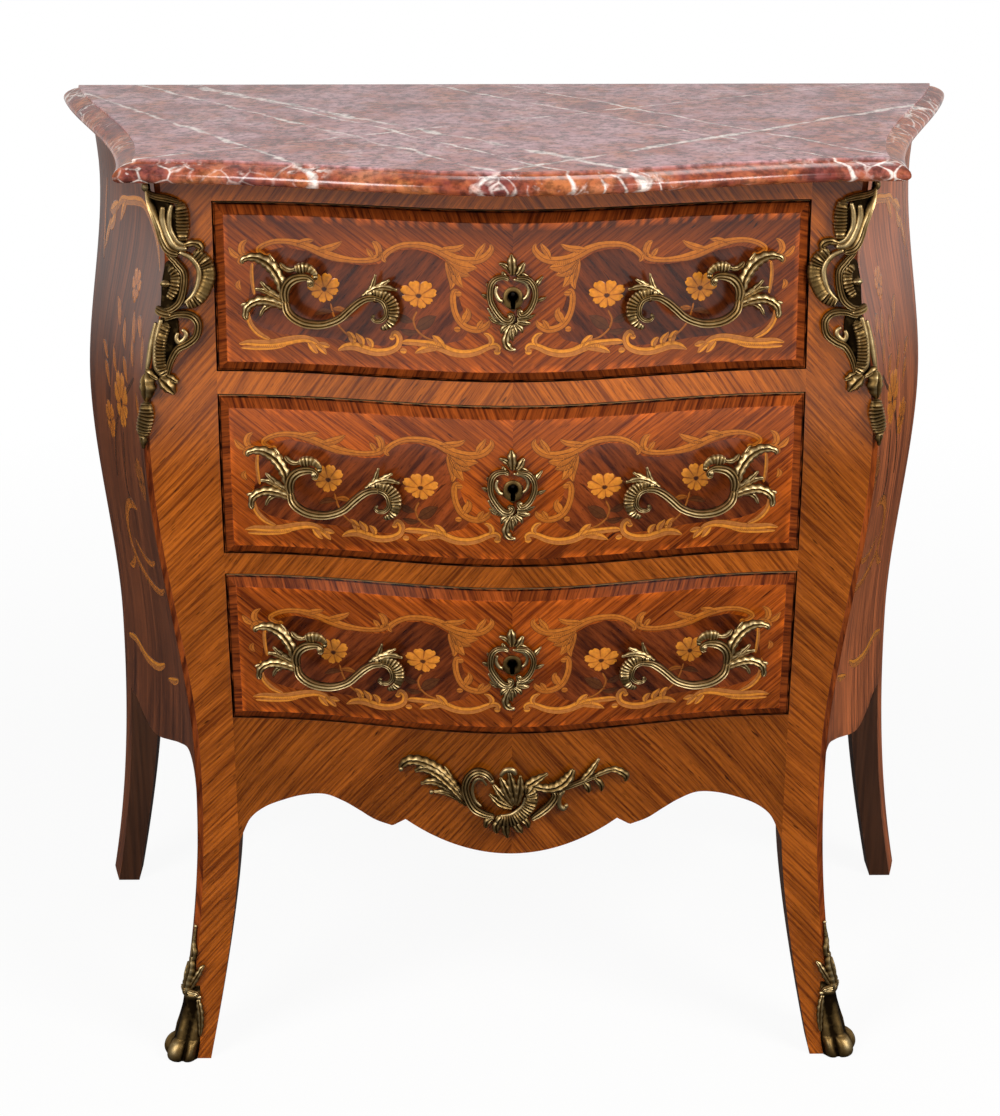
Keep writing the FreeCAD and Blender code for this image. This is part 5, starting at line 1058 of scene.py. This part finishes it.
def strips(sign, z, runs):
    """Carries plan runs, each a pair of (x, y) arrays over the heights, up z as grids, and closes both ends. A run
    that has no lean belongs to the side."""
    sheets, loops = [], []
    shift = LEAF_SHIFTS[sign > 0]
    for x, y, slot, lean in runs:
        grid = stack(sign * x, y, z[:, None])
        if lean is None:
            # the side is made lighter or darker as painted light
            sheets.append(sheet(grid, side_veneer(grid, shift), SIDE_PAINTED_LIGHT[sign > 0], slot))
        else:
            sheets.append(sheet(grid, veneer(grid, lean, shift), slot=slot))
        loops.append(grid)
    for end in (0, -1):
        sheets.append(cap(np.concatenate([grid[end] for grid in loops]), slot=2))
    return sheets


def front_post_sheets(sign):
    """Stile, narrow canted strip, side return and inner faces of a front post, carried up to the top."""
    z = post_rows()
    s = np.linspace(0, 1, 7)
    zc = z[:, None]
    front = stile_y(zc)
    rear = front + flare(zc, LEG_TOP, POST_DEPTH, LEG_FOOT_DEPTH)
    inner, corner = flare(zc, LEG_TOP, OPENING_HALF, LEG_FOOT_INNER), side_x(front, zc)
    face_x = inner + (corner - POST_CANT - inner) * s
    side_y = front + POST_CANT + (rear - front - POST_CANT) * s
    runs = ((face_x, np.minimum(front_y(face_x, zc), front), 0, STILE_LEAN),
            (corner - POST_CANT * (1 - s), front + POST_CANT * s, 3, UPRIGHT),
            (side_x(side_y, zc), side_y, 1, None),
            (side_x(rear, zc) + (inner - side_x(rear, zc)) * s, rear + 0 * s, 2, UPRIGHT),
            (inner + 0 * s, rear + (front_y(inner, zc) - rear) * s, 2, UPRIGHT))
    return strips(sign, z, runs)


def rear_post_sheets(sign):
    """A rear post and its leg: a swelling outer face and three flat ones."""
    z = post_rows()
    s = np.linspace(0, 1, 5)
    zc = z[:, None]
    y0 = BACK_Y - REAR_POST
    inner = flare(zc, REAR_LEG_TOP, REAR_POST_INNER, REAR_FOOT_INNER)
    y = y0 + REAR_POST * s + 0 * zc
    runs = ((inner + (side_x(y0, zc) - inner) * s, y0 + 0 * s, 2, UPRIGHT), (side_x(y, zc), y, 1, None),
            (side_x(BACK_Y, zc) + (inner - side_x(BACK_Y, zc)) * s, BACK_Y + 0 * s, 2, UPRIGHT),
            (inner + 0 * s, BACK_Y - REAR_POST * s + 0 * zc, 2, UPRIGHT))
    return strips(sign, z, runs)


def side_panel_sheets(sign):
    """The swelling side between its posts, over (share of the depth, share of the height) above its lower edge."""
    s = np.linspace(0, 1, 41)
    at, drop = smooth(SIDE_EDGE_SHARES, np.linspace(0, 1, 400)).T
    low = np.interp(s, at, SIDE_LOW + SIDE_ARCH * drop)
    z = low + (CARCASS_TOP - low) * np.linspace(0, 1, 52)[:, None]
    start = stile_y(z) + POST_DEPTH
    y = start + (BACK_Y - REAR_POST - start) * s
    x = side_x(y, z)
    face, back = stack(sign * x, y, z), stack(sign * (x - SIDE_THICK), y, z)
    # the side is made lighter or darker as painted light
    return ([sheet(face, side_veneer(face, LEAF_SHIFTS[sign > 0]), SIDE_PAINTED_LIGHT[sign > 0])]
            + [sheet(one, veneer(one, UPRIGHT), slot=1) for one in (back, *rims(face, back))])


def rail_sheets(low, high, depth, tone):
    """A rail or the apron in two book-matched halves: a face over (across, share of the height) of the front, the
    same grid moved back by depth, and the edges between them, save in the middle, where the halves meet."""
    sheets = []
    for sign in (-1, 1):
        x = np.linspace(0, OPENING_HALF, 121)
        foot = low(x) if callable(low) else np.full_like(x, low)
        z = foot + (high - foot) * np.linspace(0, 1, 14)[:, None]
        face = stack(sign * x, front_y(x, z), z)
        back = face + np.array((0.0, depth, 0.0))
        bottom, top, _, end = rims(face, back)
        for one, slot in ((face, 0), (back, 1), (bottom, 1), (top, 1), (end, 1)):
            sheets.append(sheet(one, veneer(one, RAIL_LEAN, LEAF_SHIFTS[sign > 0]), tone, slot))
    return sheets


def apron_low(x):
    """Lower edge of the apron: arches and cusps through named points, then a round lobe in the middle."""
    points = smooth(APRON_LEG[:-1], np.linspace(0, 1, 300))
    edge = np.vstack((points, APRON_LEG[-1:]))[::-1]
    rise = APRON_NOTCH_Z - APRON_LOBE_Z
    radius = (APRON_LOBE_HALF ** 2 + rise ** 2) / (2 * rise)
    lobe = APRON_LOBE_Z + radius - np.sqrt(radius ** 2 - np.minimum(x, APRON_LOBE_HALF) ** 2)
    return np.where(x <= APRON_LOBE_HALF, lobe, np.interp(x, edge[:, 0], edge[:, 1]))


def drawer_front_sheets(level):
    """A bevelled, raised drawer front: in each half a field, three mitred bevels, the rim and the back, all
    moved out from the serpentine front by their own stand-off."""
    low, high = LEVELS[level] + FRONT_GAP, LEVELS[level] + OPENING - FRONT_GAP
    half = OPENING_HALF - FRONT_GAP
    inner = half - FRONT_BEVEL
    s, rise = np.linspace(0, 1, 61), np.linspace(0, 1, 21)
    t, bevel_light = np.array(BEVEL_SHARES)[:, None], np.array(BEVEL_HIGHLIGHT_AND_SHADOW)[:, None]
    reach, fall, proud = inner + FRONT_BEVEL * t, FRONT_BEVEL * (1 - t), FRONT_PROUD * (1 - t)
    thick = np.array((0.0, -FRONT_THICK))[:, None]
    foot, top = LEAF_END_SHADE[level]
    end_shade = np.interp(rise, LEAF_END_SHARES, (foot, 1.0, 1.0, top))[:, None]
    sheets = []
    for sign in (-1, 1):
        def lay(x, z, out, lean, slot, tone=1.0):
            x, z, out = np.broadcast_arrays(x, z, out)
            points = stack(sign * x, front_y(x, z) - out, z)
            sheets.append(sheet(points, veneer(points, lean, LEAF_SHIFTS[sign > 0]), tone, slot))

        # the field's tone is painted light: its leaf's lightness, with painted shade at its foot and top
        lay(inner * s, low + FRONT_BEVEL + (high - low - 2 * FRONT_BEVEL) * rise[:, None], FRONT_PROUD, FIELD_LEAN, 0,
            LEAF_TONE_AND_LIGHT[level][sign > 0] * end_shade)
        for edge, way in ((high, 1), (low, -1)):
            # the bevels carry a painted highlight at the arris and a painted shadow in the gap round the drawer
            lay(reach * s, edge - way * fall, proud, UPRIGHT, 1, bevel_light)
        lay(reach, low + fall + (high - low - 2 * fall) * rise, proud, LEVEL, 1, bevel_light)
        for edge in (low, high):
            lay(half * s, edge, thick, LEVEL, 2)
        lay(half, low + (high - low) * rise, thick, LEVEL, 2)
        lay(half * s, low + (high - low) * rise[:, None], -FRONT_THICK, LEVEL, 2)
    return sheets


def cut_keyhole(front, level):
    """Cuts the keyhole through a drawer front with a prism of its outline, and keeps the result as the mesh."""
    turn = np.linspace(0, 2 * np.pi, KEYHOLE_SIDES + 1)[:-1]
    middle = LEVELS[level] + KEYHOLE_RISE
    x, z = keyhole_reach(turn) * np.cos(turn), middle + keyhole_reach(turn) * np.sin(turn)
    face = front_y(0.0, middle)
    rings = np.concatenate([stack(x, face + deep, z) for deep in (-KEYHOLE_REACH, KEYHOLE_REACH)]) * MM
    near = np.arange(KEYHOLE_SIDES)
    far, after = near + KEYHOLE_SIDES, np.roll(near, -1)
    walls = np.stack((near, far, after + KEYHOLE_SIDES, after), -1)
    mesh = bpy.data.meshes.new("keyhole_cutter")
    mesh.from_pydata(rings.tolist(), [], [*walls.tolist(), near.tolist(), far[::-1].tolist()])
    cutter = bpy.data.objects.new("keyhole_cutter", mesh)
    bpy.context.scene.collection.objects.link(cutter)
    cut = front.modifiers.new("keyhole", "BOOLEAN")
    cut.operation, cut.object, cut.solver = "DIFFERENCE", cutter, "EXACT"
    bpy.context.view_layer.update()
    whole = front.evaluated_get(bpy.context.evaluated_depsgraph_get())
    result = bpy.data.meshes.new_from_object(whole)
    front.modifiers.clear()
    front.data = result
    bpy.data.objects.remove(cutter)


# ---------------------------------------------------------------- steps

class COMMODE_OT_marble(Operator):
    """Makes the moulded marble slab"""

    bl_idname = "commode.marble"
    bl_label = "Marble top"

    def execute(self, context):
        piece("marble_slab", marble_sheets(), [finishes()["breccia_marble_polished"]], "carcass",
              ("marble_top",), sharp=40.0)
        return {"FINISHED"}


class COMMODE_OT_frame(Operator):
    """Makes the posts, sides, rails and apron of the case"""

    bl_idname = "commode.frame"
    bl_label = "Case"

    def execute(self, context):
        use = finishes()
        tulip, rose, beech, band, oak = (use[name] for name in (
            "tulipwood_polished", "rosewood_polished", "beech_stained", "crossband_polished", "oak_planed_deep"))
        for side, sign in SIDES:
            piece(side + "_stile", front_post_sheets(sign), [tulip, rose, beech, band], "carcass",
                  (side + "_front_post",), sharp=25.0)
            piece(side + "_back_leg", rear_post_sheets(sign), [tulip, rose, beech], "carcass",
                  (side + "_rear_post",), sharp=25.0)
            piece(side + "_side", side_panel_sheets(sign), [rose, oak], "carcass",
                  (side + "_side_panel",))
        # each rail's lower and upper edge, depth, tone and node; the tones are painted light, the top rail under the
        # slab lightened and the apron darkened as painted shade
        rails = (("top_rail", CARCASS_TOP - TOP_RAIL, CARCASS_TOP, RAIL_DEPTH, 1.5, "front_top_rail"),
                 ("high_rail", LEVELS["upper"] - RAIL, LEVELS["upper"], RAIL_DEPTH, 1.15, "upper_drawer_rail"),
                 ("mid_rail", LEVELS["middle"] - RAIL, LEVELS["middle"], RAIL_DEPTH, 0.98, "lower_drawer_rail"),
                 ("apron", apron_low, APRON_TOP, APRON_DEPTH, 0.75, "front_apron"))
        for name, low, high, depth, tone, node in rails:
            piece(name, rail_sheets(low, high, depth, tone), [tulip, beech], "carcass", (node,))
        return {"FINISHED"}


class COMMODE_OT_drawers(Operator):
    """Makes the bevelled drawer fronts with their keyholes"""

    bl_idname = "commode.drawers"
    bl_label = "Drawer fronts"

    def execute(self, context):
        use = finishes()
        woods = [use[name] for name in ("drawer_veneer_polished", "crossband_polished", "oak_planed_across")]
        for level in LEVELS:
            made = piece(level + "_front", drawer_front_sheets(level), woods, level + "_drawer",
                         (level + "_drawer_front",), sharp=20.0)
            cut_keyhole(made, level)
        return {"FINISHED"}


class COMMODE_OT_inlay(Operator):
    """Lays the scrolls and flowers into the drawer fronts and the sides"""

    bl_idname = "commode.inlay"
    bl_label = "Inlay"

    def execute(self, context):
        lift = chosen().sizes.inlay / MM
        wood = [finishes()["satinwood_inlay"], finishes()["kingwood_polished"]]
        for level, low in LEVELS.items():
            sheets = []
            for sign in (-1, 1):
                place = on_front(0.0, low, -sign, FRONT_PROUD)
                # the ground takes its leaf's tone, painted light included
                sheets.append(ground(place, 0.5 * lift, LEAF_TONE_AND_LIGHT[level][sign > 0]))
                sheets += marquetry(place, DRAWER_STROKES, DRAWER_FLOWERS, lift, (0, -1, 0), DRAWER_INLAY_WIDTH)
            piece(level + "_inlay", sheets, wood, level + "_drawer", closed=False)
        for side, sign in SIDES:
            sheets = marquetry(on_side(sign), SIDE_STROKES, SIDE_FLOWERS, lift, (sign, 0, 0), SIDE_INLAY_WIDTH)
            piece(side + "_inlay", sheets, wood, "carcass", closed=False)
        return {"FINISHED"}


class COMMODE_OT_mounts(Operator):
    """Casts the pulls, keyhole plates, corner mounts, apron spray and shoes"""

    bl_idname = "commode.mounts"
    bl_label = "Bronze mounts"

    def execute(self, context):
        bronze = [finishes()["gilt_bronze_cast"]]

        def mount(name, sheets, body, node):
            piece(name, sheets, bronze, body, (node,), sharp=60.0)

        for level, low in LEVELS.items():
            for side, sign in SIDES:
                place = on_front(PULL_END, low + PULL_RISE, sign, FRONT_PROUD)
                mount(f"{level}_{side}_handle", casting(place, PULL_ARMS, PULL_STOUT), level + "_drawer",
                      f"{level}_{side}_pull")
            place = on_front(PLATE_END, low + PLATE_RISE, -1, FRONT_PROUD)
            mount(level + "_keyplate", casting(place, CARTOUCHE_ARMS, PLATE_STOUT) + [key_plate(place)],
                  level + "_drawer", level + "_escutcheon")
        for side, sign in SIDES:
            # the corner mounts are darkened as painted shade
            mount(side + "_chute", casting(on_corner(CHUTE_LOW, sign), CHUTE_ARMS, CHUTE_STOUT, MOUNT_SHADE), "carcass",
                  side + "_corner_mount")
            place = on_corner(0.0, sign)
            mount(side + "_shoe", shoe(place) + casting(place, FOOT_ARMS), "carcass", side + "_foot_mount")
        place = on_front(SPRAY_END, SPRAY_LOW, -1, 0.0)
        # the spray is darkened as painted shade
        mount("spray", casting(place, SPRAY_ARMS, SPRAY_STOUT, MOUNT_SHADE), "carcass", "apron_mount")
        return {"FINISHED"}


class COMMODE_OT_joinery(Operator):
    """Gives the boards, runners, locks and screws their finishes"""

    bl_idname = "commode.joinery"
    bl_label = "Boards and locks"

    def execute(self, context):
        use = finishes()
        across, deep, iron = ["back_panel", "rear_top_rail", "bottom_board"], ["top_side_rails"], []
        for level in LEVELS:
            across += [level + "_drawer_back", level + "_drawer_floor"]
            deep += [level + "_runners", level + "_drawer_left_side", level + "_drawer_right_side"]
            iron += [level + "_pull_screws", level + "_lock_case", level + "_lock_bolt"]
        for names, look in ((across, "oak_planed_across"), (deep, "oak_planed_deep"), (iron, "iron_filed")):
            for name in names:
                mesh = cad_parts[name].data
                mesh.materials.clear()
                mesh.materials.append(use[look])
        return {"FINISHED"}


def seen(tree, straight, mirrored):
    """Share of white backdrop: straight for a camera or see-through ray, mirrored for a mirror ray, else 0."""
    path = add(tree, "LightPath").outputs
    direct = add(tree, "Math", {0: path["Is Camera Ray"], 1: path["Is Transmission Ray"]}, operation="MAXIMUM")
    direct = add(tree, "Math", {0: direct, 1: straight}, operation="MULTIPLY")
    mirror = add(tree, "Math", {0: path["Is Glossy Ray"], 1: mirrored}, operation="MULTIPLY")
    return add(tree, "Math", {0: direct, 1: mirror}, operation="MAXIMUM")


def floor_paper():
    """Pale studio paper: white far out and with the shadow near the chest. Mirror rays find it dim close by and
    behind the chest, as in a dark room with a white wall far in front."""
    material, tree = blank(bpy.data.materials, "floor_paper")
    place = add(tree, "TexCoord").outputs["Object"]
    far = add(tree, "VectorMath", {0: place}, operation="LENGTH")
    clear = add(tree, "MapRange", {0: far, 1: 0.8, 2: 2.0, 3: 0.93, 4: 1.0})
    bright = add(tree, "MapRange", {0: far, 1: 2.4, 2: 6.0, 3: 0.05, 4: 1.0})
    behind = add(tree, "SeparateXYZ", {0: place}).outputs["Y"]
    dimmer = add(tree, "MapRange", {0: behind, 1: 0.0, 2: 1.0, 3: 1.15, 4: 0.62})
    bright = add(tree, "Math", {0: bright, 1: dimmer}, operation="MULTIPLY")
    glossy = add(tree, "LightPath").outputs["Is Glossy Ray"]
    level = add(tree, "Mix", {0: glossy, 2: 1.0, 3: bright})
    paper = add(tree, "BsdfDiffuse", {"Color": chosen().colours.floor})
    white = add(tree, "Emission", {"Color": grey(1.0), "Strength": level})
    mixed = add(tree, "MixShader", {0: seen(tree, clear, 1.0), 1: paper, 2: white})
    add(tree, "OutputMaterial", {"Surface": mixed})
    material.cycles.emission_sampling = "NONE"
    return material


def studio_world():
    """The room: white where the camera looks, a soft light elsewhere. The backdrop stands behind the chest, so
    mirror rays find it there and a dim room on the near side."""
    world, tree = blank(bpy.data.worlds, "studio")
    way = add(tree, "SeparateXYZ", {0: add(tree, "TexCoord").outputs["Generated"]}).outputs["Y"]
    behind = add(tree, "MapRange", {0: way, 1: -0.2, 2: 0.7, 3: 0.05, 4: 0.44})
    soft, white = (add(tree, "Background", {"Color": grey(1.0), "Strength": level}) for level in (0.1, 1.0))
    mixed = add(tree, "MixShader", {0: seen(tree, 1.0, behind), 1: soft, 2: white})
    add(tree, "OutputWorld", {"Surface": mixed})
    world.cycles.sampling_method = "NONE"
    return world


class COMMODE_OT_stage(Operator):
    """Sets the floor, the studio lights and the camera"""

    bl_idname = "commode.stage"
    bl_label = "Studio"

    def execute(self, context):
        scene = context.scene
        mesh = bpy.data.meshes.new("studio_floor")
        mesh.from_pydata([(x * FLOOR_HALF, y * FLOOR_HALF, 0) for x, y in ((-1, -1), (1, -1), (1, 1), (-1, 1))], [],
                         [(0, 1, 2, 3)])
        mesh.materials.append(floor_paper())
        floor = bpy.data.objects.new("studio_floor", mesh)
        scene.collection.objects.link(floor)
        scene.world = studio_world()
        for name, place, power in SOFTBOXES:
            lamp = bpy.data.lights.new(name, "AREA")
            lamp.energy, lamp.size = power, SOFTBOX_SIZE
            made = bpy.data.objects.new(name, lamp)
            made.location = place
            aim = np.array(LIGHT_AIM) - np.array(place)
            flat = math.hypot(aim[0], aim[1])
            made.rotation_euler = (math.atan2(flat, -aim[2]), 0.0, math.atan2(-aim[0], aim[1]))
            scene.collection.objects.link(made)
        camera = bpy.data.cameras.new("camera")
        camera.lens, camera.sensor_width = CAMERA_LENS, CAMERA_SENSOR
        made = bpy.data.objects.new("camera", camera)
        made.location = CAMERA_PLACE
        made.rotation_euler = CAMERA_TURN
        scene.collection.objects.link(made)
        scene.camera = made
        scene.view_settings.view_transform = "Standard"
        return {"FINISHED"}


STEPS = (COMMODE_OT_stage, COMMODE_OT_marble, COMMODE_OT_frame, COMMODE_OT_drawers, COMMODE_OT_inlay,
         COMMODE_OT_mounts, COMMODE_OT_joinery)


class COMMODE_PT_panel(Panel):
    """Lists the chest's settings and steps"""

    bl_label = "Commode chest"
    bl_space_type = "VIEW_3D"
    bl_region_type = "UI"
    bl_category = "Commode"

    def draw(self, context):
        for step in STEPS:
            self.layout.operator(step.bl_idname)
        for group in (context.scene.commode.sizes, context.scene.commode.colours):
            for key in group.bl_rna.properties.keys():
                if key not in ("rna_type", "name"):
                    self.layout.prop(group, key)


CLASSES = (CommodeSizes, CommodeColours, CommodeSettings, *STEPS, COMMODE_PT_panel)


def register():
    for cls in CLASSES:
        bpy.utils.register_class(cls)
    bpy.types.Scene.commode = PointerProperty(type=CommodeSettings)


def unregister():
    del bpy.types.Scene.commode
    for cls in reversed(CLASSES):
        bpy.utils.unregister_class(cls)


def main():
    """Registers the classes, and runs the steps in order."""
    register()
    bpy.ops.commode.stage()
    bpy.ops.commode.marble()
    bpy.ops.commode.frame()
    bpy.ops.commode.drawers()
    bpy.ops.commode.inlay()
    bpy.ops.commode.mounts()
    bpy.ops.commode.joinery()


if __name__ == "__main__":
    main()
